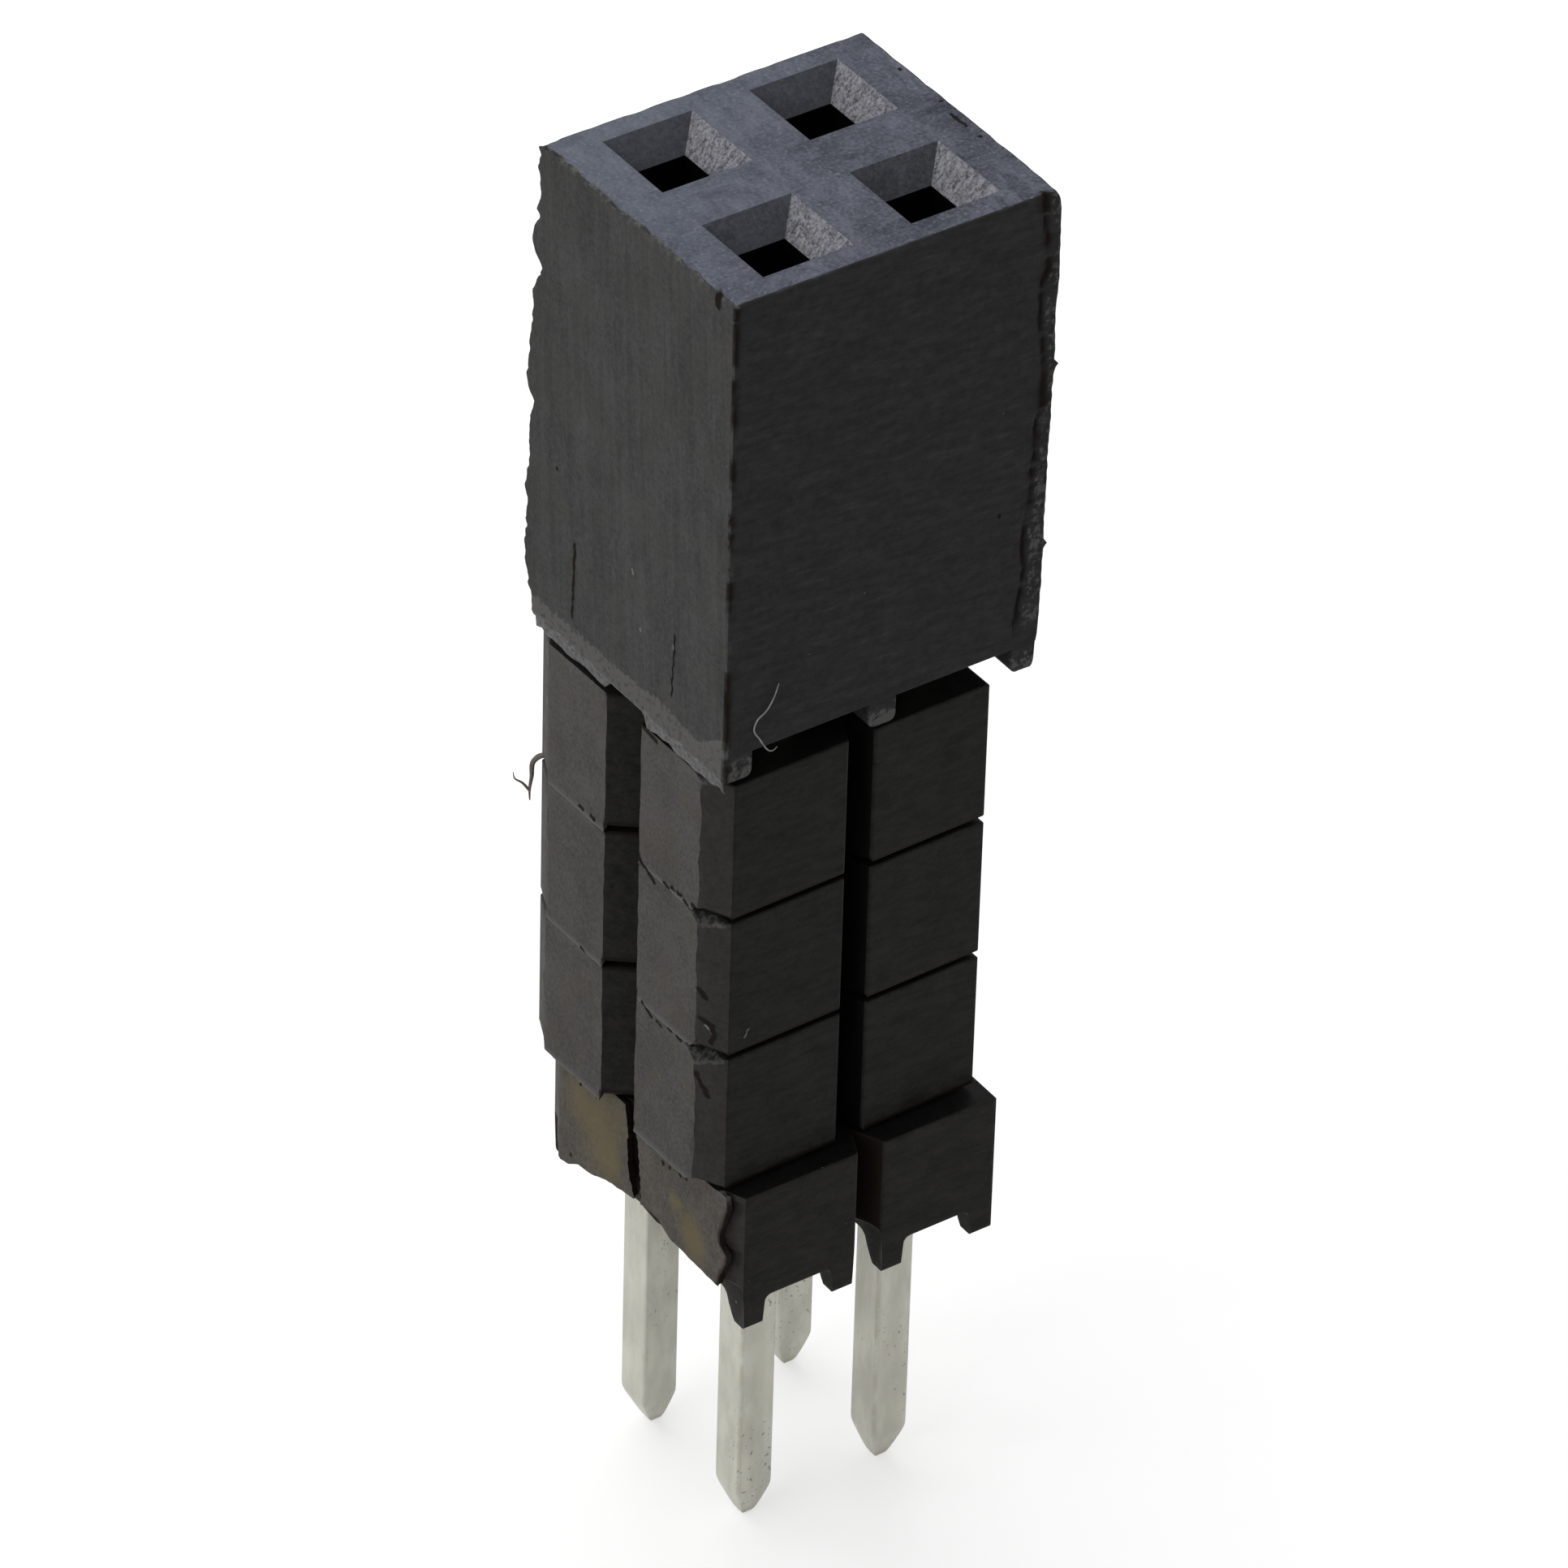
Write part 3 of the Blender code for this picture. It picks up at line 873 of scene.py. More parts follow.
    def torn(self, kit: NodeKit, place: object, colour: object) -> tuple[object, object]:
        """Lay the torn marks, and the painted shade that the crack attribute carries, over a colour.

        Args:
            kit: Node kit of the material.
            place: Place on the piece.
            colour: Colour before the marks.

        Returns:
            Sockets with the marked colour and with the mask of the dark marks and painted shade.
        """
        shake = kit.run(kit.add("ShaderNodeTexNoise"), {"Vector": place, "Scale": 8.0}, "Color")
        shake = kit.stretch(kit.vector("SUBTRACT", shake, (0.5, 0.5, 0.5)), (0.10, 0.10, 0.10))
        shaken = kit.vector("ADD", place, shake)
        colour = kit.mix(self.marks(kit, shaken, self.pale_tears), colour, self.fresh)
        # The crack attribute adds painted shade from seams, gaps and crevices to the dark marks.
        dark = kit.math("MAXIMUM", self.marks(kit, shaken, self.dark_tears), kit.attribute("crack"))
        return kit.mix(dark, colour, self.split), dark

    def build(self) -> bpy.types.Material:
        """Make the material, from the skins up to the wear and the torn marks.

        Returns:
            The material.
        """
        material, kit, shader = new_material(self.name)
        place = kit.place()
        grain = kit.group("grain", Vector=place, Size=self.grain_size)
        crinkle = kit.group("crinkle", Vector=place, Size=0.065)
        drag = kit.group("hairlines", Vector=place, Along=(0.0, 0.07, 0.998), Width=0.13, Draw=0.95)["Tone"]
        sawn, top, crinkled, painted_shade = (kit.attribute(name) for name in SKIN_MASKS)

        # The top colour is painted light: a painted sheen on the housing, painted shade on the spacers.
        colour = kit.mix(top, self.moulded(kit, place, grain["Tone"]), self.painted_light_top(kit, place))
        colour = kit.mix(crinkled, colour, kit.mix(crinkle["Tone"], *self.crinkled))
        colour = kit.mix(sawn, colour, self.cut(kit, place, drag))
        colour, dark = self.torn(kit, place, self.rubbed(kit, place, colour))
        # Painted shade darkens holes, tunnels and recesses.
        kit.feed(shader.inputs["Base Color"], kit.mix(painted_shade, colour, self.painted_shade))

        rough = kit.mix(sawn, self.skin_roughness, 0.65, Data.NUMBER)
        uneven = kit.times(kit.minus(grain["Tone"], 0.5), 0.12)
        kit.feed(shader.inputs["Roughness"], kit.math("ADD", rough, uneven, clamp=True))
        shader.inputs["Specular IOR Level"].default_value = self.specular
        height = kit.mix(sawn, grain["Height"], kit.times(drag, 0.5 * self.streak), Data.NUMBER)
        height = kit.mix(crinkled, height, kit.times(crinkle["Height"], 2.0), Data.NUMBER)
        kit.bump(shader, kit.minus(height, kit.times(dark, 2.0)), 1.0, self.grain_depth)
        return material


@dataclass(frozen=True)
class TinFinish:
    """Matt tin plating: cloudy, with dark specks in clusters, a worn corner and a warm streak."""

    name: str
    pale: Colour
    dull: Colour
    warm: Colour
    speck: Colour
    roughness: float
    side: float = 0.64
    pitch: float = 2.54
    tip: float = -4.72

    def offset(self, kit: NodeKit, value: object) -> object:
        """Distance from the nearest post's centre line along one axis."""
        return kit.minus(value, kit.times(kit.math("SIGN", value), self.pitch / 2.0))

    def build(self) -> bpy.types.Material:
        """Make the material.

        Returns:
            The material.
        """
        material, kit, shader = new_material(self.name)
        place = kit.place()
        tone = kit.step(0.3, 0.7, kit.noise(kit.stretch(place, (1.0, 1.0, 0.35)), 0.35, 4.0, 0.6))
        colour = kit.mix(tone, self.dull, self.pale)
        parts = kit.add("ShaderNodeSeparateXYZ")
        kit.feed(parts.inputs[0], place)
        x, y = (self.offset(kit, parts.outputs[axis]) for axis in "XY")
        half = self.side / 2.0
        sway = kit.times(kit.minus(kit.noise(place, 0.5, 2.0), 0.5), 0.12)
        middle = kit.step(0.20, 0.06, kit.math("ABSOLUTE", kit.plus(x, sway)))
        streak = kit.times(kit.step(0.04 - half, 0.01 - half, y), middle, 0.25)
        corner = kit.step(0.07, 0.03, kit.plus(kit.plus(x, half), kit.plus(y, half)))
        rubbed = kit.times(corner, kit.step(0.35, 0.6, kit.noise(place, 0.3)), 0.55)
        blunt = kit.times(kit.step(self.tip, self.tip - 0.14, parts.outputs["Z"]), 0.6)
        for share in (streak, rubbed, blunt):
            colour = kit.mix(share, colour, self.warm)
        specks = kit.step(0.66, 0.72, kit.noise(place, 0.07, 1.0))
        patch = kit.step(0.45, 0.62, kit.noise(kit.stretch(place, (1.0, 1.0, 0.5)), 0.9, 1.0))
        kit.feed(shader.inputs["Base Color"], kit.mix(kit.times(specks, patch, 0.8), colour, self.speck))
        shader.inputs["Metallic"].default_value = 0.55
        rough = kit.mix(tone, self.roughness + 0.08, self.roughness, Data.NUMBER)
        kit.feed(shader.inputs["Roughness"], rough)
        kit.bump(shader, kit.noise(place, 0.05, 3.0, 0.6), 0.6, 0.006)
        return material


@dataclass(frozen=True)
class LintFinish:
    """Cloudy matt colour of a fine fibre or a thin curl of plastic."""

    name: str
    colour: Colour

    def build(self) -> bpy.types.Material:
        """Make the material.

        Returns:
            The material.
        """
        material, kit, shader = new_material(self.name)
        tone = kit.step(0.3, 0.7, kit.noise(kit.place(), 0.12))
        dim = tuple(0.6 * part for part in self.colour[:3]) + (1.0,)
        kit.feed(shader.inputs["Base Color"], kit.mix(tone, dim, self.colour))
        shader.inputs["Roughness"].default_value = 0.6
        return material


def dress(piece: bpy.types.Object, material: bpy.types.Material, node: str | None) -> None:
    """Give a piece its finish and tie it to the frame.

    Args:
        piece: Finished piece.
        material: Its finish.
        node: Frame node that it stands for, if any.
    """
    piece.data.materials.clear()
    piece.data.materials.append(material)
    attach(piece, BODY)
    if node:
        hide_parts(node)
    log.info("%s: %d faces", piece.name, len(piece.data.polygons))


@dataclass
class Grid:
    """The square grid of the four posts, in millimetres."""

    pitch: float = 2.54

    def centres(self) -> list[tuple[str, float, float]]:
        """Name and place of each post.

        Returns:
            Name, place along the strip and place across it.
        """
        half = self.pitch / 2.0
        rows = (("front", -half), ("rear", half))
        sides = (("left", -half), ("right", half))
        return [(f"{row}_{side}", x, y) for row, y in rows for side, x in sides]

    def offset(self, value: np.ndarray) -> np.ndarray:
        """Distance from the nearest post's centre line along one axis."""
        return value - np.where(value < 0.0, -self.pitch, self.pitch) / 2.0


@dataclass
class Housing:
    """The socket housing: a ribbed block with four funnels over four contact cavities.

    The outlines of the burrs and flashes give, at rising heights, how far each stands proud. The
    end line is the place of the torn line along the strip, the burnished line the height of the
    band's upper edge across the sawn end, and a chip has a height, a width and a depth.
    """

    grid: Grid
    rib_width: float = 0.46
    rib_drop: float = 0.43
    rib_round: float = 0.10
    rib_end_step: float = 0.05
    hole_side: float = 0.84
    lip_side: float = 1.55
    lip_depth: float = 0.45
    cavity_side: float = 1.50
    cavity_roof: float = 1.30
    edge_round: float = 0.035
    wall_run: float = 0.004
    burr_thickness: float = 0.09
    level_step: float = 0.045
    rear_burr: Outline = (
        (10.35, -0.07), (10.47, 0.14), (10.77, 0.16), (10.86, 0.31), (10.98, 0.26), (11.27, 0.35),
        (11.72, 0.37), (11.91, 0.31), (12.02, 0.35), (12.35, 0.30), (12.58, 0.38), (13.14, 0.26),
        (13.45, 0.30), (13.85, 0.28), (14.23, 0.17), (14.39, 0.34), (14.55, 0.36), (15.17, 0.30),
        (15.46, 0.26), (15.81, 0.20), (16.12, 0.25), (16.31, 0.14), (16.65, -0.01), (16.80, 0.16),
        (17.05, 0.26), (17.28, 0.21), (17.52, 0.03), (17.56, 0.15), (17.89, 0.03), (18.35, 0.11),
        (18.55, 0.05), (18.64, 0.11), (18.72, 0.08), (18.80, -0.04),
    )
    end_flash: Outline = (
        (10.40, -0.05), (10.83, -0.03), (11.19, -0.01), (12.42, 0.02), (12.50, 0.03), (12.57, 0.09),
        (12.66, 0.02), (13.73, 0.02), (14.37, 0.03), (14.87, 0.05), (15.30, 0.04), (15.60, 0.07),
        (15.67, 0.08), (15.73, 0.145), (15.81, 0.06), (16.64, 0.05), (17.26, 0.08), (18.36, 0.07),
        (18.60, 0.04), (18.70, 0.00), (18.80, -0.06),
    )
    end_line: Outline = (
        (11.29, 2.33), (11.71, 2.39), (12.26, 2.46), (12.80, 2.40), (13.15, 2.44), (13.41, 2.50),
        (13.84, 2.51), (14.25, 2.56), (14.83, 2.56), (15.08, 2.65), (15.93, 2.65), (16.54, 2.54),
        (17.24, 2.54), (17.49, 2.64), (18.06, 2.60), (18.63, 2.54),
    )
    burnished: Outline = (
        (-2.46, 11.20), (-2.30, 11.15), (-1.77, 10.80), (-0.88, 10.92), (0.03, 10.83), (2.46, 10.79),
    )
    corner_chips: tuple[tuple[float, float, float], ...] = (
        (18.47, 0.05, 0.05), (17.30, 0.22, 0.03), (15.10, 0.05, 0.05), (14.68, 0.05, 0.04),
        (14.20, 0.06, 0.06), (12.85, 0.05, 0.03), (11.95, 0.10, 0.03),
    )

    def __post_init__(self) -> None:
        """Read the block's size from the frame."""
        low, high = node_box("socket_housing")
        self.half_length = float(high[0])
        self.half_depth = float(-low[1])
        self.rib_bottom = float(low[2])
        self.bottom = self.rib_bottom + self.rib_drop
        self.top = float(high[2])

    def rib_profile(self) -> tuple[np.ndarray, np.ndarray]:
        """Height of the underside along the strip: three ribs with round lower corners.

        Returns:
            Positions along the strip and the height at each.
        """
        inset, rise = quarter(self.rib_round, 4, True)
        right_x = np.concatenate([-inset, [self.wall_run]])
        right_z = np.concatenate([self.rib_bottom + rise, [self.bottom]])
        rib, pitch, end = self.rib_width / 2.0, self.grid.pitch, self.half_length
        xs = [[-end], rib - pitch + right_x, -rib - right_x[::-1], rib + right_x]
        xs += [pitch - rib - right_x[::-1], end - self.rib_end_step - self.wall_run + right_x, [end]]
        zs = [[self.rib_bottom], right_z, right_z[::-1], right_z, right_z[::-1], right_z, [self.bottom]]
        return np.concatenate(xs), np.concatenate(zs)

    def foot_points(self, flat: np.ndarray) -> np.ndarray:
        """Places of a plan on the underside with its ribs."""
        return np.column_stack([flat, np.interp(flat[:, 0], *self.rib_profile())])

    def lines(self, keys: list[float], lip: float, hole: float, counts: np.ndarray | None) -> tuple:
        """Lines across the block through the lips and holes of both positions.

        Args:
            keys: Other positions that have to be met, none of them inside a lip.
            lip: Half the side of the lip's square.
            hole: Half the side of the hole's square.
            counts: Parts of each span, or None to work them out.

        Returns:
            The lines and the counts.
        """
        half = self.grid.pitch / 2.0
        marks = [c + s for c in (-half, half) for s in (-lip, -hole, hole, lip)]
        keys = sorted(list(keys) + marks)
        if counts is None:
            counts = span_counts(keys, 0.10)
        return spread(keys, counts), counts

    def side_keys(self, half: float) -> list[float]:
        """Lines near both ends of a side, close together so that torn edges have a shape."""
        steps = (0.0, 0.045, 0.08, 0.12, 0.17, 0.23)
        return [-half + s for s in steps] + [half - s for s in reversed(steps)]

    def plans(self) -> list[Plan]:
        """Plans of the block.

        Returns:
            Plan of the top, with the pin holes open, and of the underside, with the cavities open.
        """
        far_lines = self.half_length - np.linspace(0.27, 0.55, 8)
        x_keys = np.concatenate([self.rib_profile()[0], self.side_keys(self.half_length), far_lines])
        x_keys = sorted(set(np.round(x_keys, 5)))
        x_keys = [x_keys[0]] + [b for a, b in zip(x_keys, x_keys[1:]) if b - a > 0.003]
        y_keys = self.side_keys(self.half_depth)
        lip, hole, cavity = self.lip_side / 2.0, self.hole_side / 2.0, self.cavity_side / 2.0
        x_top, x_counts = self.lines(x_keys, lip, hole, None)
        y_top, y_counts = self.lines(y_keys, lip, hole, None)
        x_low, _ = self.lines(x_keys, cavity + 0.08, cavity, x_counts)
        y_low, _ = self.lines(y_keys, cavity + 0.08, cavity, y_counts)
        plans = []
        for xs, ys, opening in ((x_top, y_top, hole), (x_low, y_low, cavity)):
            x, y = np.meshgrid(xs, ys, indexing="ij")
            open_x, open_y = (np.abs(self.grid.offset((v[:-1] + v[1:]) / 2.0)) < opening for v in (xs, ys))
            plans.append(Plan(x, y, ~(open_x[:, None] & open_y), list(range(len(ys)))))
        return plans

    def top_points(self, plan: Plan, flat: np.ndarray) -> np.ndarray:
        """Places on the top: level, with a straight slope from each lip down to its hole.

        Args:
            plan: Plan of the top.
            flat: Its places once the outer edges are pulled in.

        Returns:
            Place of every corner.
        """
        reach = np.abs(self.grid.offset(plan.flat())).max(axis=-1)
        slope = self.lip_depth / (self.lip_side - self.hole_side) * 2.0
        return np.column_stack([flat, self.top - np.maximum(0.0, self.lip_side / 2.0 - reach) * slope])

    def outer_wall(self, top: Plan, low: Plan, surface: Surface) -> tuple[np.ndarray, np.ndarray]:
        """Add the four outer sides with round upper and lower edges.

        Args:
            top: Plan of the top.
            low: Plan of the underside.
            surface: Surface that gets the sides.

        Returns:
            Inset plan places of the top and of the underside.
        """
        start, end = top.border()
        flat_top, flat_low = top.flat(), low.flat()
        outer = (np.abs(flat_top) > (self.half_length - WELD, self.half_depth - WELD)).any(axis=-1)
        keep = outer[start] & outer[end]
        start, end = start[keep], end[keep]
        ring, first, last = ring_numbers(start, end)
        pulled = top.outward(start, end) * self.edge_round
        head = np.column_stack([flat_top, np.full(len(flat_top), self.top)])[ring]
        levels = int((self.top - self.rib_bottom) / self.level_step)
        radii = (self.edge_round, self.edge_round)
        rings = rounded_wall(self.foot_points(flat_low)[ring], head, [pulled[ring]] * 2, radii, levels)
        skins = np.tile(Skin.MOULDED.value, (len(start), 1))
        skins[(flat_top[start] + flat_top[end])[:, 0] / 2.0 < WELD - self.half_length] = Skin.SAWN.value
        surface.wall(rings, first, last, skins)
        return flat_top - pulled, flat_low - pulled

    def tunnels(self, top: Plan, surface: Surface) -> None:
        """Add the four pin holes and the cavities under them, each a square ring carried down.

        Args:
            top: Plan of the top.
            surface: Surface that gets the tunnels.
        """
        start, end = top.border()
        flat = top.flat()
        inner = np.abs(self.grid.offset(flat)).max(axis=-1) < self.hole_side / 2.0 + WELD
        keep = inner[start] & inner[end]
        ring, first, last = ring_numbers(start[keep], end[keep])
        offset = self.grid.offset(flat[ring])
        roof = self.top - self.cavity_roof
        sides = (self.cavity_side, self.cavity_side, self.hole_side, self.hole_side)
        heights = (self.bottom, roof, roof, self.top - self.lip_depth)
        rings = [
            np.column_stack([flat[ring] - offset + offset * side / self.hole_side, np.full(len(ring), z)])
            for side, z in zip(sides, heights)
        ]
        # The tunnel walls get painted shade.
        surface.wall(np.stack(rings), first, last, Skin.PAINTED_SHADE)

    def top_faces(self, plan: Plan) -> tuple[np.ndarray, np.ndarray]:
        """Triangles of the top, split so that the funnels' corners stay crisp, and their skins.

        Each cell is split along the diagonal that runs towards the nearest post. The slope on a
        funnel's far side, which faces the sawn end and the light, is crinkled and partly painted light,
        and the one behind gets a darker mix, painted shade.

        Args:
            plan: Plan of the top.

        Returns:
            Corner numbers and skins of the triangles.
        """
        a, b, c, d = plan.cells().T
        flat = plan.flat()
        middle = self.grid.offset((flat[a] + flat[c]) / 2.0)
        rising = middle[:, 0] * middle[:, 1] > 0.0
        first = np.stack([a, b, np.where(rising, c, d)], axis=-1)
        second = np.stack([np.where(rising, a, b), c, d], axis=-1)
        faces = np.concatenate([first, second])
        centre = self.grid.offset(flat[faces].mean(axis=1))
        across, along = centre.T
        inside = np.abs(centre).max(axis=-1) < self.lip_side / 2.0
        skins = np.tile(Skin.TOP.value, (len(faces), 1))
        # Painted shade on the slopes behind the holes, and paler crinkle, partly painted light, on the slopes
        # facing the light.
        skins[inside & (along > np.abs(across))] = Skin.SHADED.value
        skins[inside & (across > np.abs(along))] = Skin.CRINKLED.value
        return faces, skins

    def torn_line(self, points: np.ndarray, width: float | np.ndarray) -> np.ndarray:
        """Nearness to the torn line at the far end of the front, exp(-(gap / width)^2).

        Args:
            points: Places on the block.
            width: Gap at which the nearness has fallen by a factor of e.

        Returns:
            Nearness of each place, from 0 to 1.
        """
        x, y, z = points.T
        front = y < -self.half_depth + 3.0 * self.edge_round
        gap = x - along_height(self.end_line, z) - 0.05 * (ragged(z, 0.14, 62) - 0.5)
        return np.exp(-((gap / width) ** 2)) * front * smooth_step(10.9, 11.6, z)

    def band(self, points: np.ndarray) -> np.ndarray:
        """Burnished band along the foot of the sawn end.

        Args:
            points: Places on the block.

        Returns:
            Share of the band at each place, from 0 to 1.
        """
        x, y, z = points.T
        upper = along_height(self.burnished, y) + 0.05 * (ragged(y, 0.3, 51) - 0.5)
        return smooth_step(-0.02, 0.05, upper - z) * self.at_saw(x)

    def at_saw(self, x: np.ndarray) -> np.ndarray:
        """Whether places lie on the sawn end or on the burrs that stand on it."""
        return x < -self.half_length + 0.06

    def weather(self, points: np.ndarray) -> np.ndarray:
        """Wear the clean block: round upright edges, saw burrs, chips and the torn far end.

        Args:
            points: Places of the clean block.

        Returns:
            Places of the worn block.
        """
        worn = points.copy()
        x, y, z = points.T
        radius = self.edge_round

        # Round upright edges, where the rounds of the top and the underside meet them.
        u = np.maximum(0.0, np.abs(x) - (self.half_length - radius)) / radius
        w = np.maximum(0.0, np.abs(y) - (self.half_depth - radius)) / radius
        shrink = np.maximum(u, w) / np.maximum(np.hypot(u, w), 1e-9)
        corner = (u > 0.0) & (w > 0.0)
        kept = corner & ~((x < 0.0) & (y > 0.0))
        worn[:, 0] -= np.sign(x) * np.where(kept, radius * u * (1.0 - shrink), 0.0)
        worn[:, 1] -= np.sign(y) * np.where(kept, radius * w * (1.0 - shrink), 0.0)

        # Burr behind the sawn end, fringe under it and the end's own unevenness.
        from_saw = x + self.half_length
        near_saw = np.clip(1.0 - from_saw / self.burr_thickness, 0.0, 1.0)
        behind = smooth_step(self.half_depth - 0.2, self.half_depth - radius, y)
        torn = along_height(self.rear_burr, z) + 0.07 * (ragged(z, 0.10, 5) - 0.5)
        worn[:, 1] += behind * torn * near_saw
        land = smooth_step(0.42, 0.52, np.abs(y - 0.1)) * (y > -2.43)
        low = z < self.rib_bottom + radius * 0.5
        fringe = 0.10 + 0.16 * ragged(y, 0.13, 21)
        worn[:, 2] -= np.where(low & (from_saw < radius * 1.2), fringe * land, 0.0)
        on_saw = from_saw < WELD
        worn[:, 0] += np.where(on_saw, 0.008 * lumps(points * (1.0, 1.0, 0.15), 0.5, 3), 0.0)
        worn[:, 0] -= np.where(on_saw, 0.02 * self.band(points), 0.0)

        # Lip of the torn line, the uneven strip beyond it and the flash of the far end.
        front = y < -self.half_depth + 2.0 * radius
        tear = self.torn_line(points, 0.045)
        beyond = front * smooth_step(0.0, 0.05, x - along_height(self.end_line, z))
        worn[:, 1] += 0.035 * tear - beyond * (0.002 + 0.02 * lumps(points, 0.25, 14))
        reach = np.clip(1.0 - (self.half_length - x) / 0.17, 0.0, 1.0)
        hold = 0.35 + 0.65 * np.exp(-(y + self.half_depth) / 0.6)
        worn[:, 0] += reach * hold * (along_height(self.end_flash, z) + 0.012 * lumps(points, 0.22, 6))

        # Chips down the corner in front of the sawn end, and wear of the top's rim.
        front_left = np.exp(-np.hypot(from_saw, y + self.half_depth) / 0.06)
        chips = 0.02 * np.clip(lumps(points * (0.3, 0.3, 1.0), 0.35, 31), 0.0, None)
        for level, width, depth in self.corner_chips:
            chips = chips + depth * np.exp(-(((z - level) / width) ** 2))
        worn[:, :2] += (chips * front_left)[:, None]
        outside = np.maximum(np.abs(x) / self.half_length, np.abs(y) / self.half_depth) > 0.985
        rim = np.exp(-(self.top - z) / 0.05) * outside
        worn[:, 2] -= rim * 0.06 * np.clip(lumps(points, 0.5, 41), 0.0, None)
        saw_rim = np.exp(-(self.top - z) / 0.03) * np.clip(1.0 - from_saw / 0.06, 0.0, 1.0)
        worn[:, 2] -= saw_rim * 0.10 * smooth_step(0.35, 0.75, ragged(y, 0.13, 43))
        worn[:, 0] += saw_rim * 0.07 * smooth_step(0.40, 0.75, ragged(y, 0.11, 44))
        return worn

    def nicked_corner(self, points: np.ndarray) -> np.ndarray:
        """Dark nicks down the front of the upright corner at the sawn end.

        Args:
            points: Places on the block.

        Returns:
            Share of darkness at each place, from 0 to 1.
        """
        x, y, z = points.T
        across = np.exp(-(((x + self.half_length - 0.03) / (0.03 + 0.05 * ragged(z, 0.15, 72))) ** 2))
        down = np.maximum(smooth_step(0.48, 0.66, ragged(z, 0.42, 71)), smooth_step(18.2, 18.4, z))
        return across * down * (y < -self.half_depth + 0.06) * (z < self.top - 0.05)

    def cracked(self, points: np.ndarray) -> np.ndarray:
        """Darkness of the torn line, a split with the shade of its gap painted in, blotched and of uneven
        width, and of the nicked corner.

        Args:
            points: Places on the block.

        Returns:
            Share of darkness at each place, from 0 to 1.
        """
        z = points[:, 2]
        line = self.torn_line(points, 0.035 + 0.15 * ragged(z, 0.26, 63) ** 2)
        return np.maximum(line * smooth_step(0.22, 0.45, ragged(z, 0.19, 61)), self.nicked_corner(points))

    def smeared(self, points: np.ndarray) -> np.ndarray:
        """Rubbed pale plastic and painted light: the band and its lower edge, which carries a painted
        highlight, the saw's rim, the ribs' fronts, which are paler as painted light, and the strip beyond
        the torn line.

        Args:
            points: Places on the block.

        Returns:
            Share of rubbed plastic and painted light at each place, 1 or more where the painted highlight
            goes.
        """
        x, y, z = points.T
        front = y < -self.half_depth + 0.06
        flecks = np.exp(-(self.top - z) / 0.08) * self.at_saw(x)
        # Painted light: the rib fronts are paler where light falls on them.
        ribs = smooth_step(self.bottom + 0.05, self.rib_bottom + 0.1, z) * (y < -self.half_depth + 0.05)
        # Pale lower fringe of the sawn end with a painted highlight; its full share gives the highlight
        # colour.
        edge = (z < self.rib_bottom + 0.05 + 0.06 * ragged(y, 0.15, 52)) & (x < -self.half_length + 0.03)
        beyond = smooth_step(0.07, 0.11, x - along_height(self.end_line, z)) * front * (z > 11.2)
        return np.minimum(self.band(points) + 0.5 * flecks + 0.7 * ribs, 0.9) + edge + 0.3 * beyond

    def build(self) -> bpy.types.Object:
        """Make the housing's piece with its painted masks.

        Returns:
            The linked object.
        """
        top, low = self.plans()
        surface = Surface()
        flat_top, flat_low = self.outer_wall(top, low, surface)
        self.tunnels(top, surface)
        surface.add(self.top_points(top, flat_top), *self.top_faces(top))
        under = self.foot_points(low.flat())
        hole = np.abs(self.grid.offset(low.flat())).max(axis=-1) < self.cavity_side / 2.0 + WELD
        under[hole, 2] = self.bottom
        under[:, :2] = flat_low
        surface.add(under, low.cells()[:, ::-1], Skin.MOULDED)
        piece = surface.write("housing_block", self.weather)
        places = vertex_table(piece)[0]
        paint_edges(piece)
        # The crack attribute of the housing: the torn line with painted shade in its gap, and the nicked
        # corner.
        paint(piece, "crack", self.cracked(places))
        paint(piece, "smear", self.smeared(places))
        return piece


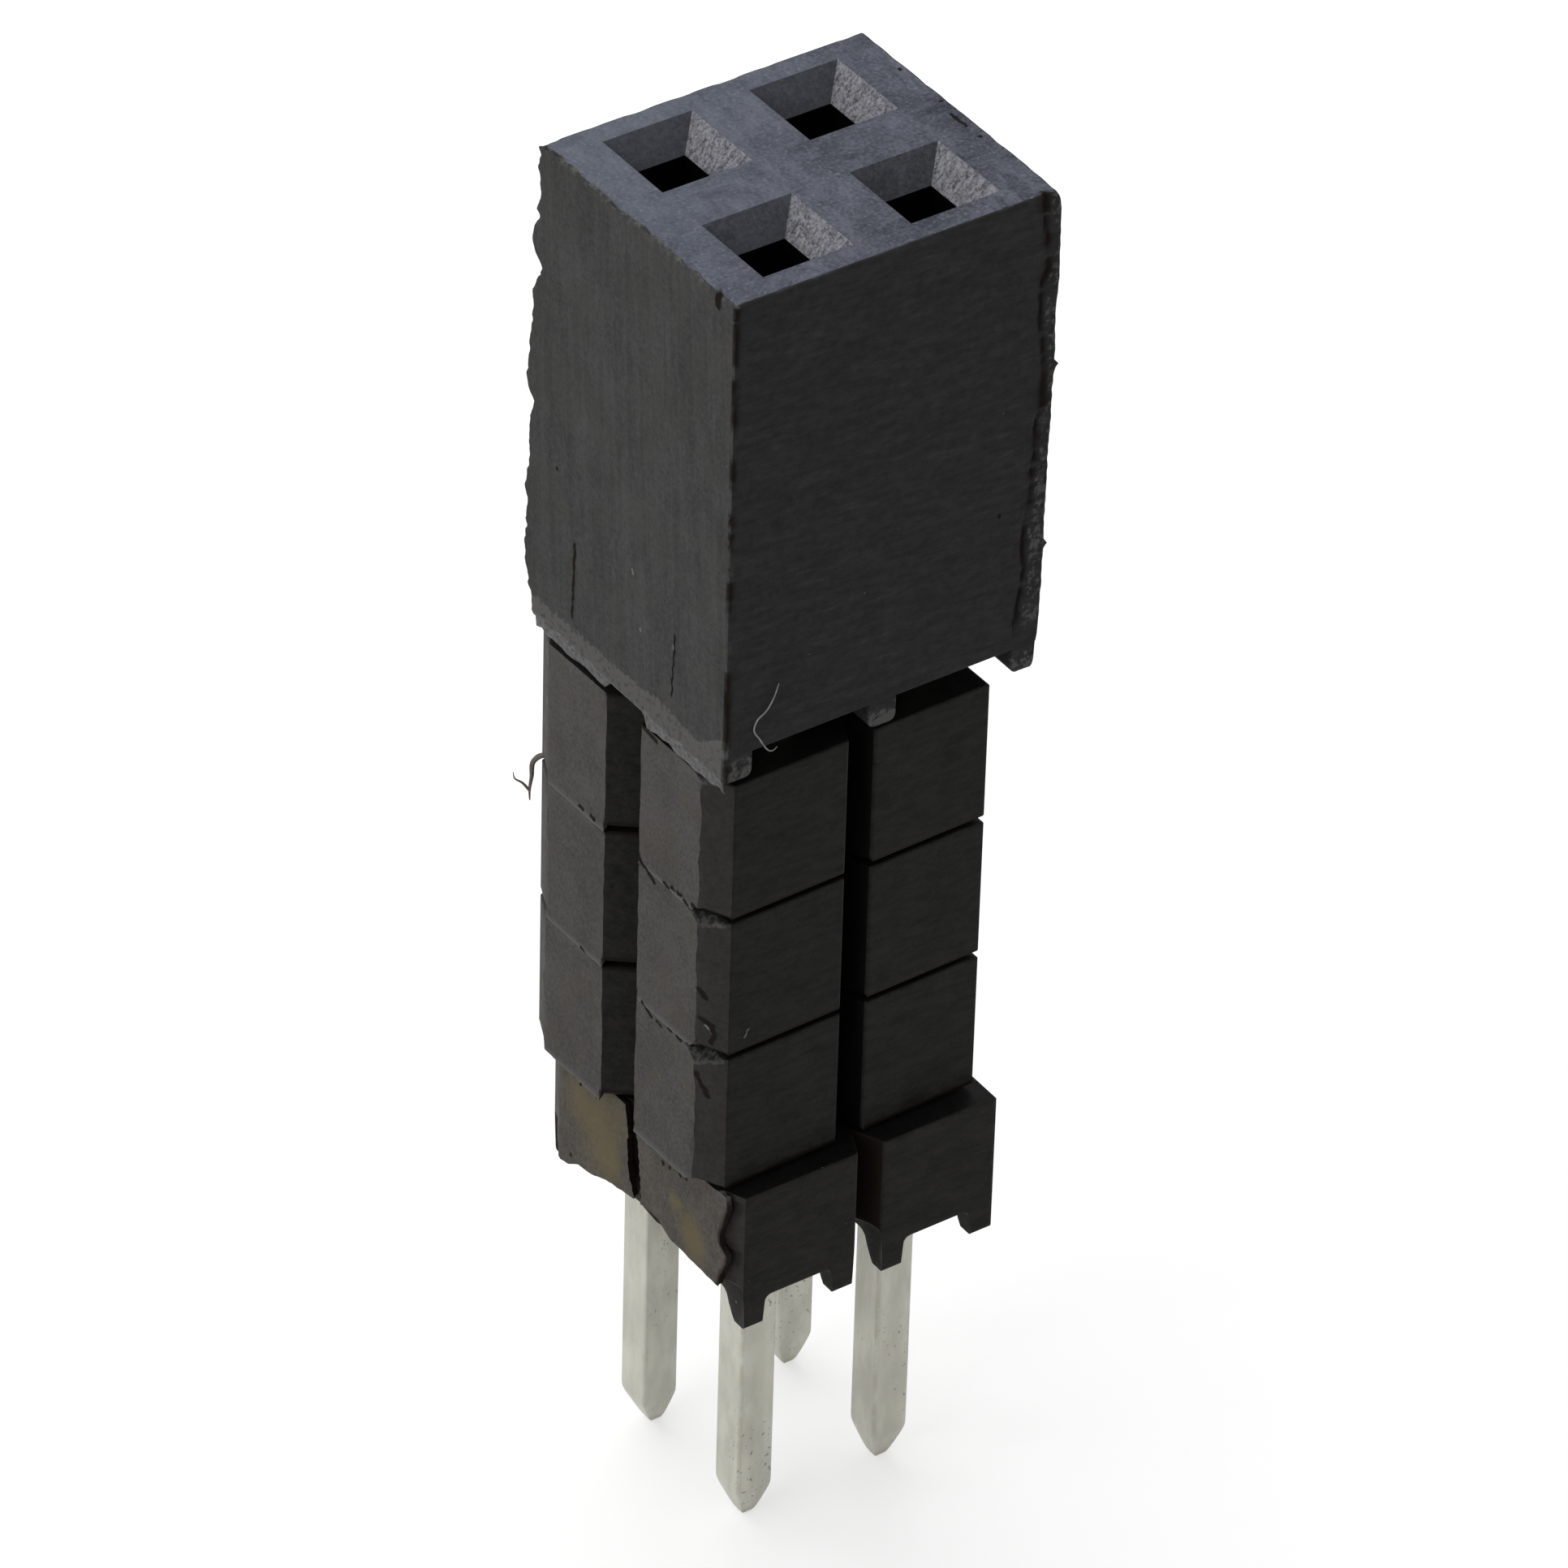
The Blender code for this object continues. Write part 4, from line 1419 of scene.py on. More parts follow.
@dataclass
class Strip:
    """Two cells of a spacer strip: break grooves, post holes and diamond slots, sawn at -X."""

    grid: Grid
    name: str
    node: str
    depth: float = 4.93
    hole_side: float = 1.24
    groove_mouth: float = 0.50
    groove_depth: float = 0.52
    slot_width: float = 0.89
    slot_reach: float = 0.53
    end_trim: float = 0.24
    top_round: float = 0.03
    foot_round: float = 0.055
    recess_round: float = 0.09
    sawn_round: float = 0.005
    corner_soft: float = 0.035
    line_step: float = 0.075
    yaw: float = math.radians(1.1)
    slide: tuple[float, float] = (0.0, 0.0)
    seam: float = 0.08
    corner_cut: float = 0.30
    seed: int = 1

    def __post_init__(self) -> None:
        """Read the heights from the frame, and place the sawn face on a cell boundary."""
        low, high = node_box(self.node)
        self.bottom, self.top = float(low[2]), float(high[2])
        self.saw = -self.grid.pitch

    def groove(self, x: np.ndarray) -> np.ndarray:
        """Depth of the V grooves along the strip, with softened mouths.

        Near a cell boundary the wall runs straight in, depth * (1 - 2 |x| / mouth), and a short
        parabola of (t + w)^2 / 4w joins it to the flat front.

        Args:
            x: Positions along the strip.

        Returns:
            Depth at each position.
        """
        gap = np.minimum(np.abs(x), np.abs(x - self.saw))
        t = self.groove_depth * (1.0 - 2.0 * gap / self.groove_mouth)
        w = self.corner_soft
        return np.where(t > w, t, np.where(t < -w, 0.0, (t + w) ** 2 / (4.0 * w)))

    def rear_groove(self, x: np.ndarray) -> np.ndarray:
        """Depth of the rear V grooves."""
        return Strip.groove(self, x)

    def slot_half(self, x: np.ndarray) -> np.ndarray:
        """Half width of the diamond slots along the strip."""
        gap = np.minimum(np.abs(x), np.abs(x - self.saw))
        return self.slot_width / 2.0 * np.maximum(0.0, 1.0 - gap / self.slot_reach)

    def x_lines(self) -> np.ndarray:
        """Lines across the strip, close together at corners, grooves and ends.

        Returns:
            Positions of the lines along the strip.
        """
        pitch, mouth, hole = self.grid.pitch, self.groove_mouth / 2.0, self.hole_side / 2.0
        bend = (-0.045, -0.02, 0.0, 0.02, 0.045)
        keys = [s - pitch for s in (0.0, 0.04, 0.09, 0.14, self.slot_reach)]
        keys += [-self.slot_reach, 0.0, self.slot_reach]
        keys += [mouth + b - pitch for b in bend] + [side * (mouth + b) for side in (-1, 1) for b in bend]
        keys += [side * pitch / 2.0 + edge * hole for side in (-1, 1) for edge in (-1, 1)]
        keys += [pitch - self.end_trim - s for s in (0.14, 0.07, 0.0)] + self.extra_lines()
        keys = sorted(set(np.round(keys, 5)))
        return spread(keys, span_counts(keys, 0.2))

    def extra_lines(self) -> list[float]:
        """More lines that a variant needs."""
        return []

    def plan(self) -> Plan:
        """Plan of the strip.

        The lines along the strip bend: the outermost follow the grooves, the middle ones follow
        the diamond slots, and those in between run straight past the post holes.

        Returns:
            The plan, with the post holes and the slots open.
        """
        x = self.x_lines()
        half, hole = self.depth / 2.0, self.hole_side / 2.0
        near, far = self.grid.pitch / 2.0 - hole, self.grid.pitch / 2.0 + hole
        front, rear = self.groove(x) - half, half - self.rear_groove(x)
        slot = self.slot_half(x)
        stations = (front, -far, -near, -slot, slot, near, far, rear)
        stations = [np.broadcast_to(s, x.shape)[:, None] for s in stations]
        widths = (half - far, 2.0 * hole, near, 0.0, near, 2.0 * hole, half - far)
        counts = [max(1, math.ceil(width / self.line_step)) for width in widths]
        rows = [a + (b - a) * (np.arange(n) / n) for a, b, n in zip(stations, stations[1:], counts)]
        y = np.concatenate(rows + [stations[-1]], axis=1)
        kept = np.ones((len(x) - 1, y.shape[1] - 1), bool)
        middle = (x[:-1] + x[1:]) / 2.0
        at_hole = np.abs(self.grid.offset(middle)) < hole
        at_slot = self.slot_half(middle) > 0.0
        first = [int(f) for f in np.cumsum([0] + counts)]
        for columns, span in ((at_hole, 1), (at_slot, 3), (at_hole, 5)):
            kept[columns, first[span] : first[span + 1]] = False
        return Plan(np.broadcast_to(x[:, None], y.shape).copy(), y, kept, first)

    def underside(self, flat: np.ndarray) -> np.ndarray:
        """Height of the underside at each place of the plan."""
        return np.full(len(flat), self.bottom)

    def wall_skins(self, middle: np.ndarray) -> np.ndarray:
        """Skin of the wall over each border edge of the plan.

        Args:
            middle: Plan place of each edge's middle.

        Returns:
            One row of shares per edge: sawn at the cut end, painted shade in the holes and in the recesses
            between the two cells, paler on the front facets beside the cut, a painted highlight on the rear
            facets beside it, and moulded elsewhere.
        """
        x, y = middle.T
        skins = np.tile(Skin.MOULDED.value, (len(middle), 1))
        grooved = np.abs(y) > self.depth / 2.0 - self.groove_depth - WELD
        recess = grooved | (np.abs(y) < self.slot_width / 2.0)
        # Painted shade in the recesses and the post holes.
        skins[recess & (np.abs(x) < self.groove_mouth / 2.0 - 0.03)] = Skin.PAINTED_SHADE.value
        hole = np.abs(self.grid.offset(middle)).max(axis=-1) < self.hole_side / 2.0 + WELD
        skins[hole] = Skin.PAINTED_SHADE.value
        beside = grooved & (x < self.groove_mouth / 2.0 + self.saw)
        skins[beside & (y < 0.0)] = Skin.FACET.value
        # Painted highlight on the rear facets beside the cut, standing in for a reflection at a grazing
        # angle.
        skins[beside & (y > 0.0)] = Skin.PAINTED_HIGHLIGHT.value
        skins[x < self.saw + WELD] = Skin.SAWN.value
        return skins

    def surface(self) -> Surface:
        """Closed surface of the clean piece, in the strip's own place before it is turned.

        The edges are quarter rounds: small above, wider below, and widest below the recesses,
        which is what makes the seams read as dark lines.

        Returns:
            The surface.
        """
        plan = self.plan()
        start, end = plan.border()
        ring, first, last = ring_numbers(start, end)
        flat = plan.flat()
        outward = plan.outward(start, end)
        x, y = flat.T
        inset = np.where(y < 0.0, self.groove(x), self.rear_groove(x))
        recess = (np.abs(y) > self.depth / 2.0 - inset - WELD) & (inset > 0.03)
        recess |= np.abs(y) < self.slot_width / 2.0 + WELD
        sawn = x < self.saw + WELD
        low = np.where(sawn, self.sawn_round, np.where(recess, self.recess_round, self.foot_round))
        high = np.where(sawn, self.sawn_round, self.top_round)
        pulls = [plan.eased(outward * radius[:, None]) for radius in (low, high)]
        foot, head = self.underside(flat), np.full(len(flat), self.top)
        edges = [np.column_stack([flat, level])[ring] for level in (foot, head)]
        rings = rounded_wall(*edges, [pull[ring] for pull in pulls], (low[ring], high[ring]), 40)
        surface = Surface()
        surface.wall(rings, first, last, self.wall_skins((flat[start] + flat[end]) / 2.0))
        # The top sheets get the top colour, which on the spacers is painted shade under the next piece.
        surface.add(np.column_stack([flat - pulls[1], head]), plan.cells(), Skin.TOP)
        surface.add(np.column_stack([flat - pulls[0], foot]), plan.cells()[:, ::-1], Skin.MOULDED)
        return surface

    def corner_depth(self, points: np.ndarray) -> np.ndarray:
        """Distance inwards from the facet beside the sawn end's front corner.

        Args:
            points: Places in the strip's own frame.

        Returns:
            Distance of each place.
        """
        lean = np.array([self.groove_depth, self.groove_mouth / 2.0])
        corner = (self.saw, self.groove_depth - self.depth / 2.0)
        return (points[:, :2] - corner) @ (lean / np.linalg.norm(lean))

    def corner_drop(self, points: np.ndarray) -> np.ndarray:
        """How far the top is broken away at the sawn end's front corner.

        The break is deepest at the land's corner, runs out along the facet, and falls by a factor
        of e for each 0.16 mm along the land and by 0.9 mm per millimetre inwards.

        Args:
            points: Places in the strip's own frame.

        Returns:
            Depth of the break at each place.
        """
        u = (-points[:, 1] - self.depth / 2.0 + self.groove_depth) / self.groove_depth
        along = np.where(u > 0.0, 1.0 - 0.95 * u, np.exp(np.minimum(u, 0.0) * self.groove_depth / 0.16))
        inward = np.where(u > 0.0, np.maximum(0.0, self.corner_depth(points)), points[:, 0] - self.saw)
        return np.maximum(0.0, self.corner_cut * along - 0.9 * inward) * (u < 1.05)

    def seam_open(self, y: np.ndarray) -> np.ndarray:
        """Where the seam below the sawn end stays open: past both edges of the land."""
        return np.maximum(smooth_step(-1.82, -1.92, y), smooth_step(1.93, 1.99, y))

    def weather(self, points: np.ndarray) -> np.ndarray:
        """Wear the sawn end: uneven face, a cut corner, and lips that close the seam below.

        Args:
            points: Places of the clean piece.

        Returns:
            Places of the worn piece.
        """
        worn = points.copy()
        x, y, z = points.T
        near = np.clip(1.0 - (x - self.saw) / 0.03, 0.0, 1.0)
        low = np.clip(1.0 - (z - self.bottom) / 0.02, 0.0, 1.0)
        closed = 1.0 - self.seam_open(y)
        worn[:, 2] -= near * low * (self.seam + 0.02 * ragged(y, 0.12, self.seed)) * closed
        worn[:, 0] -= near * low * (0.008 + 0.02 * ragged(y, 0.1, self.seed + 9)) * closed
        worn[:, 0] += near * 0.008 * lumps(points * (1.0, 1.0, 0.3), 0.6, self.seed + 2)
        land_edge = np.exp(-np.abs(np.abs(y) - self.depth / 2.0 + self.groove_depth) / 0.04)
        worn[:, 0] += near * land_edge * 0.05 * (ragged(z, 0.2, self.seed + 6) - 0.3)
        worn[:, 1] -= near * land_edge * np.sign(y) * 0.10 * (0.35 - ragged(z, 0.55, self.seed + 8))
        slot_edge = np.exp(-np.abs(np.abs(y) - self.slot_width / 2.0) / 0.03)
        worn[:, 1] -= near * slot_edge * np.sign(y) * 0.05 * (ragged(z, 0.25, self.seed + 7) - 0.5)
        share = np.clip((z - self.bottom) / (self.top - self.bottom), 0.0, 1.0)
        worn[:, 2] -= self.corner_drop(points) * share**3
        return worn

    def settle(self, points: np.ndarray) -> np.ndarray:
        """Turn the piece about the post grid's middle and slide it to its place.

        Args:
            points: Places in the strip's own frame.

        Returns:
            Places in the frame of the whole object.
        """
        c, s = math.cos(self.yaw), math.sin(self.yaw)
        x, y, z = points.T
        return np.column_stack([c * x - s * y + self.slide[0], s * x + c * y + self.slide[1], z])

    def unsettle(self, places: np.ndarray) -> np.ndarray:
        """Take settled places back to the strip's own frame.

        Args:
            places: Places in the frame of the whole object.

        Returns:
            Places in the strip's own frame.
        """
        c, s = math.cos(self.yaw), math.sin(self.yaw)
        x, y = places[:, 0] - self.slide[0], places[:, 1] - self.slide[1]
        return np.column_stack([c * x + s * y, c * y - s * x, places[:, 2]])

    def smeared(self, own: np.ndarray) -> np.ndarray:
        """Rubbed pale plastic beside the seams and on the break.

        Args:
            own: Places in the strip's own frame.

        Returns:
            Share of rubbed plastic at each place.
        """
        x, y, z = own.T
        seams = (-2.5, -1.9, -1.3, -1.1, -0.5, 0.5, 0.8, 1.6, 1.95)
        share = np.interp(y, seams, (0.0, 0.7, 0.45, 0.15, 0.1, 0.1, 0.55, 0.45, 0.3))
        under = smooth_step(0.30, 0.06, self.top - z) * share
        lip = 0.35 * np.exp(-(z - self.bottom) / 0.04)
        drop = self.corner_drop(own)
        broken = smooth_step(0.01, 0.04, drop) * smooth_step(-0.06, -0.02, z - self.top + drop)
        return np.maximum(np.maximum(under, lip) * (x < self.saw + 0.03), 0.5 * broken)

    def painted_seam_shade(self, own: np.ndarray) -> np.ndarray:
        """Painted shade in the seams: in the slot, under the moulded sides and behind the break.

        Args:
            own: Places in the strip's own frame.

        Returns:
            Share of painted shade at each place.
        """
        x, y, z = own.T
        slot = (np.abs(y) < self.slot_half(x) + 0.03) & (np.abs(x - self.saw) < self.slot_reach + 0.03)
        seam = np.maximum(smooth_step(0.16, 0.09, z - self.bottom), smooth_step(0.05, 0.02, self.top - z))
        side = np.abs(y) > self.depth / 2.0 - np.where(y < 0.0, self.groove(x), self.rear_groove(x)) - 0.12
        side = (side | (x > self.grid.pitch - self.end_trim - 0.1)) & (x > self.saw + 0.02)
        under = smooth_step(0.095, 0.06, z - self.bottom) * side
        # Painted shade behind the break, where the piece above hides the light.
        behind = smooth_step(0.24, 0.30, self.corner_depth(own)) * (z > self.top - self.corner_cut - 0.02)
        behind = behind * smooth_step(0.01, 0.03, self.corner_drop(own))
        return np.maximum(np.maximum(slot * seam, under), behind)

    def build(self) -> bpy.types.Object:
        """Make the piece with its painted masks.

        Returns:
            The linked object.
        """
        piece = self.surface().write(self.name, lambda points: self.settle(self.weather(points)))
        own = self.unsettle(vertex_table(piece)[0])
        paint_edges(piece)
        paint(piece, "smear", self.smeared(own))
        # The crack attribute of the strips carries painted shade.
        paint(piece, "crack", self.painted_seam_shade(own))
        return piece


@dataclass
class FootedStrip(Strip):
    """The base spacer: a strip with feet, whose slot the saw smeared shut but for a crack."""

    depth: float = 5.18
    hole_side: float = 0.70
    yaw: float = 0.0
    foot_height: float = 0.48
    foot_width: float = 0.41
    foot_depth: float = 0.40
    foot_draft: float = 0.03
    arch_round: float = 0.13
    inner_draft: float = 0.16
    inner_round: float = 0.20
    notch_height: float = 0.34
    notch_round: float = 0.15
    corner_cut: float = 0.0
    smear: float = 0.10
    crack: float = 0.11
    flange: float = 0.10
    crack_line: Outline = (
        (0.80, -0.10), (1.08, -0.064), (1.32, 0.022), (1.62, 0.052), (1.93, 0.072), (2.17, 0.111),
        (2.41, 0.162), (2.54, 0.19),
    )
    crack_width: Outline = ((0.8, 0.14), (1.1, 0.25), (1.4, 0.35), (1.8, 0.34), (2.1, 0.25), (2.54, 0.23))
    flange_line: Outline = (
        (0.80, -2.27), (1.05, -2.33), (1.30, -2.45), (1.48, -2.47), (1.56, -2.31), (1.74, -2.27),
        (2.03, -2.35), (2.34, -2.47), (2.50, -2.42),
    )
    torn_foot: Outline = (
        (-2.6, 0.76), (-2.29, 0.76), (-1.19, 0.79), (-0.97, 0.78), (-0.59, 0.94), (-0.34, 0.95),
        (-0.08, 0.91), (0.37, 0.83), (0.81, 0.73), (1.15, 0.58), (1.55, 0.52), (1.82, 0.35),
        (2.04, 0.29), (2.18, 0.41), (2.6, 0.62),
    )

    def __post_init__(self) -> None:
        """Read the heights from the frame, and place the back of the smeared skin."""
        super().__post_init__()
        self.back = self.saw + self.smear

    def slot_half(self, x: np.ndarray) -> np.ndarray:
        """Half width of the slots: the sawn one is only a crack through the smeared skin."""
        return np.where(x < self.back - WELD, self.crack / 2.0, super().slot_half(x))

    def wall_skins(self, middle: np.ndarray) -> np.ndarray:
        """Skin of the wall over each border edge: the crack and the slot behind it get painted shade.

        Args:
            middle: Plan place of each edge's middle.

        Returns:
            One row of shares per edge.
        """
        skins = super().wall_skins(middle)
        x, y = middle.T
        hidden = (x > self.saw + WELD) & (x < self.saw + self.slot_reach)
        skins[hidden & (np.abs(y) < self.slot_width / 2.0)] = Skin.PAINTED_SHADE.value
        return skins

    def groove(self, x: np.ndarray) -> np.ndarray:
        """Depth of the front V grooves: the smeared skin reaches over the sawn one as a flange."""
        return np.where(x < self.back - WELD, self.flange, super().groove(x))

    def extra_lines(self) -> list[float]:
        """Lines at the back of the smeared skin and along the feet's arches.

        Returns:
            Positions of the lines along the strip.
        """
        runs = [p for profile in self.across() for p in profile[0]]
        inside = [x for x in runs if abs(x) < self.grid.pitch - self.end_trim and x > self.back + 0.01]
        return [self.back - 0.004, self.back] + inside

    def channel(self, low: float, high: float, roof: float, radius: float, draft: float) -> tuple:
        """Profile of a channel from wall foot to wall foot, with round upper corners.

        Args:
            low: Position of the left wall at the roof.
            high: Position of the right wall at the roof.
            roof: Height of the roof.
            radius: Radius of the upper corners.
            draft: How far each wall leans out at its foot.

        Returns:
            Positions and heights of the profile's points.
        """
        run, drop = quarter(radius, 4, False)
        rise = roof - drop
        places = np.concatenate([[low - draft], low + run, (high - run)[::-1], [high + draft]])
        return places, np.concatenate([[0.0], rise, rise[::-1], [0.0]])

    def across(self) -> list[tuple]:
        """Profiles of the channels between feet and of the taller break notches.

        Returns:
            Positions along the strip and heights of each channel.
        """
        mouth, draft = self.groove_mouth / 2.0, self.foot_draft
        inner, outer = mouth + self.foot_width, self.grid.pitch - self.end_trim - self.foot_width
        roof = self.foot_height + self.notch_height
        rows = [(a, b, self.foot_height, self.arch_round) for a, b in ((-outer, -inner), (inner, outer))]
        rows += [(p - mouth, p + mouth, roof, self.notch_round) for p in (self.saw, 0.0)]
        return [self.channel(*row, draft) for row in rows]

    def underside(self, flat: np.ndarray) -> np.ndarray:
        """Height of the underside: the highest channel at each place, or the smeared skin's torn foot.

        Args:
            flat: Places in plan.

        Returns:
            Height at each place.
        """
        x, y = flat.T
        wall = self.depth / 2.0 - self.foot_depth
        along = self.channel(-wall, wall, self.foot_height, self.inner_round, self.inner_draft)
        height = np.zeros(len(flat))
        for place, channel in [(x, profile) for profile in self.across()] + [(y, along)]:
            height = np.maximum(height, np.interp(place, *channel, left=0.0, right=0.0))
        torn = along_height(self.torn_foot, y) + 0.03 * (ragged(y, 0.13, 17) - 0.5)
        return np.where(x < self.back - 0.002, torn, height)

    def weather(self, points: np.ndarray) -> np.ndarray:
        """Wear the sawn end, let the crack wander up the smeared skin and tear its flange.

        Args:
            points: Places of the clean piece.

        Returns:
            Places of the worn piece.
        """
        worn = super().weather(points)
        x, y, z = points.T
        skin = x < self.back - 0.002
        near = np.clip(1.0 - np.abs(y) / 0.9, 0.0, 1.0)
        spread_out = along_height(self.crack_width, z) / 2.0 - self.crack / 2.0
        shift = along_height(self.crack_line, z) + 0.03 * lumps(points * (0.0, 0.0, 1.0), 0.12, 12)
        rough = 0.045 * lumps(points * (0.0, 1.0, 1.0), 0.16, 13) * smooth_step(2.45, 2.2, z)
        worn[:, 1] += np.where(skin, near * (shift + np.sign(y) * (spread_out + rough)), 0.0)
        groove = self.groove_depth - self.depth / 2.0
        share = np.clip((groove - y) / (self.groove_depth - self.flange), 0.0, 1.0)
        edge = along_height(self.flange_line, z) + self.depth / 2.0 - self.flange
        edge = edge + 0.02 * lumps(points * (0.0, 0.0, 1.0), 0.14, 18)
        worn[:, 1] += np.where(skin & (y < groove), edge * share, 0.0)
        lifted = skin * smooth_step(-2.05, -2.35, y) * smooth_step(self.top - 0.08, self.top - 0.01, z)
        worn[:, 2] += 0.04 * lifted
        return worn

    def smeared(self, own: np.ndarray) -> np.ndarray:
        """Share of rubbed pale plastic: the lifted lip at the top."""
        x, y, z = own.T
        return 0.6 * (x < self.back) * smooth_step(-2.0, -2.3, y) * smooth_step(self.top - 0.2, self.top, z)

    def painted_seam_shade(self, own: np.ndarray) -> np.ndarray:
        """Darkness along the flange's torn edge, a tear with its shade painted in, and painted shade in the
        crevice behind it.

        Args:
            own: Places in the strip's own frame.

        Returns:
            Share of darkness and painted shade at each place.
        """
        x, y, z = own.T
        edge = along_height(self.flange_line, z) + 0.01
        torn = np.exp(-(((y - edge) / (0.02 + 0.04 * ragged(z, 0.2, 19))) ** 2)) * (x < self.back)
        behind = (x > self.back - 0.01) & (x < self.saw + 0.3) & (y < -2.0)
        # Painted shade in the crevice behind the flange.
        crevice = 0.55 * behind * smooth_step(edge - 0.13, edge - 0.07, y)
        return np.maximum(torn, crevice) * (z < self.top - 0.1) * (z > 0.75)


@dataclass
class Contact:
    """One contact: a square post with a blunt tapered tip, a shoulder plate and two spring leaves."""

    name: str
    x: float
    y: float
    housing: Housing
    side: float = 0.64
    edge: float = 0.05
    tip_side: float = 0.22
    fit: float = 0.02
    inset: float = 0.27
    strip: float = 0.20
    leaf_width: float = 1.00
    leaf_root: float = 1.60
    tip_clearance: float = 0.40
    flare_height: float = 0.80
    flare_spread: float = 0.22
    pinch_gap: float = 0.40
    bend: tuple[float, float] = (0.0, 0.0)
    taper: Outline = (
        (0.0, 0.0), (0.0, 0.62), (0.02, 0.86), (0.06, 1.10), (0.12, 1.36), (0.22, 1.74),
        (0.34, 2.16), (0.46, 2.56), (0.54, 2.78), (0.60, 2.88), (0.68, 2.91),
    )

    def __post_init__(self) -> None:
        """Read the tip's height from the frame."""
        self.low = float(node_box(f"contact_{self.name}")[0][2])
        self.plate_bottom = self.housing.bottom + self.inset
        self.outer = self.housing.cavity_side / 2.0 - self.fit

    def post(self) -> bpy.types.Object:
        """Post: a square whose corners are quarter rounds, carried up and tapered at its tip.

        Below the base spacer the post may stand a little off its place: the bend is a smooth step
        hidden inside that spacer. The tip leans, and its ridge ends off the middle.

        Returns:
            The linked object.
        """
        turn = np.linspace(0.0, math.pi / 2.0, 6)
        core = 1.0 - 2.0 * self.edge / self.side
        u, v = core + (1.0 - core) * np.cos(turn), core + (1.0 - core) * np.sin(turn)
        ring = np.column_stack([np.concatenate([u, -v, -u, v]), np.concatenate([v, u, -v, -u])])
        rise, shares = np.array(self.taper).T
        body = np.linspace(self.low + 0.8, self.plate_bottom + self.strip / 2.0, 60)
        heights = np.concatenate([self.low + rise, body, body[-1:]])
        tip = np.minimum(shares * self.tip_side, self.side)
        widths = np.concatenate([tip, np.full(len(body), self.side), [0.0]])
        rings = np.empty((len(heights), len(ring), 3))
        rings[..., :2] = ring * widths[:, None, None] / 2.0
        rings[..., 2] = heights[:, None]
        skew = np.clip(self.low + 0.5 - rings[..., 2], 0.0, None)
        bent = smooth_step(2.4, 0.6, rings[..., 2])
        rings[..., 0] += self.x + 0.10 * skew * math.sin(7.0 * self.x + 3.0 * self.y) + bent * self.bend[0]
        rings[..., 1] += self.y - 0.12 * skew + bent * self.bend[1]
        return write_tube(f"post_{self.name}", rings)

    def plate(self) -> bpy.types.Object:
        """Shoulder plate across the cavity.

        Returns:
            The linked object.
        """
        square = np.array([[-1, -1], [1, -1], [1, 1], [-1, 1]]) * self.outer
        low, high = self.plate_bottom, self.plate_bottom + self.strip
        levels = ((0.0, low), (1.0, low), (1.0, high), (0.0, high))
        rings = [np.column_stack([(self.x, self.y) + square * s, np.full(4, z)]) for s, z in levels]
        return write_tube(f"plate_{self.name}", np.stack(rings))

    def leaves(self) -> bpy.types.Object:
        """Two leaves and the floor that joins them: one band carried across the strip.

        A leaf's outer face leans in from root to pinch by (1 - cos pi t) / 2 and flares out again
        by the square of its last rise. Its inner face is the same line one thickness further in.

        Returns:
            The linked object.
        """
        tip = self.housing.top - self.housing.cavity_roof - self.tip_clearance
        pinch, root = tip - self.flare_height, self.plate_bottom + self.leaf_root
        narrow, half = self.pinch_gap / 2.0 + self.strip, self.leaf_width / 2.0
        t = np.linspace(0.0, 1.0, 17)
        lean = self.outer + (narrow - self.outer) * (1.0 - np.cos(math.pi * t)) / 2.0
        flare = narrow + self.flare_spread * t[1::2] ** 2
        rise = np.concatenate([root + (pinch - root) * t, pinch + self.flare_height * t[1::2]])
        faces = []
        for gap in (0.0, self.strip):
            y = np.concatenate([[0.0, self.outer - gap], lean - gap, flare - gap])
            z = np.concatenate([[self.plate_bottom + gap] * 2, rise])
            faces.append(np.column_stack([np.append(-y[:0:-1], y) + self.y, np.append(z[:0:-1], z)]))
        corners = ((0, -half), (0, half), (1, half), (1, -half), (0, -half))
        rings = np.stack([np.insert(faces[face], 0, self.x + x, axis=1) for face, x in corners])
        start = np.arange(rings.shape[1] - 1)
        surface = Surface()
        surface.wall(rings, start, start + 1, Skin.MOULDED)
        for end in (0, -1):
            surface.add(rings[:4, end], np.array([[0, 1, 2, 3]]), Skin.MOULDED)
        return surface.write(f"leaves_{self.name}")

    def build(self) -> bpy.types.Object:
        """Make the contact: the post joined with its plate and its leaves.

        Returns:
            The linked object.
        """
        contact = self.post()
        for part in (self.plate(), self.leaves()):
            joint = contact.modifiers.new(part.name, "BOOLEAN")
            joint.operation = "UNION"
            joint.solver = "EXACT"
            joint.object = part
            evaluated = contact.evaluated_get(bpy.context.evaluated_depsgraph_get())
            mesh = bpy.data.meshes.new_from_object(evaluated)
            contact.modifiers.clear()
            contact.data = mesh
            bpy.data.objects.remove(part)
        contact.name = f"contact_pin_{self.name}"
        contact.data.shade_smooth()
        contact.data.set_sharp_from_angle(angle=math.radians(40.0))
        return contact


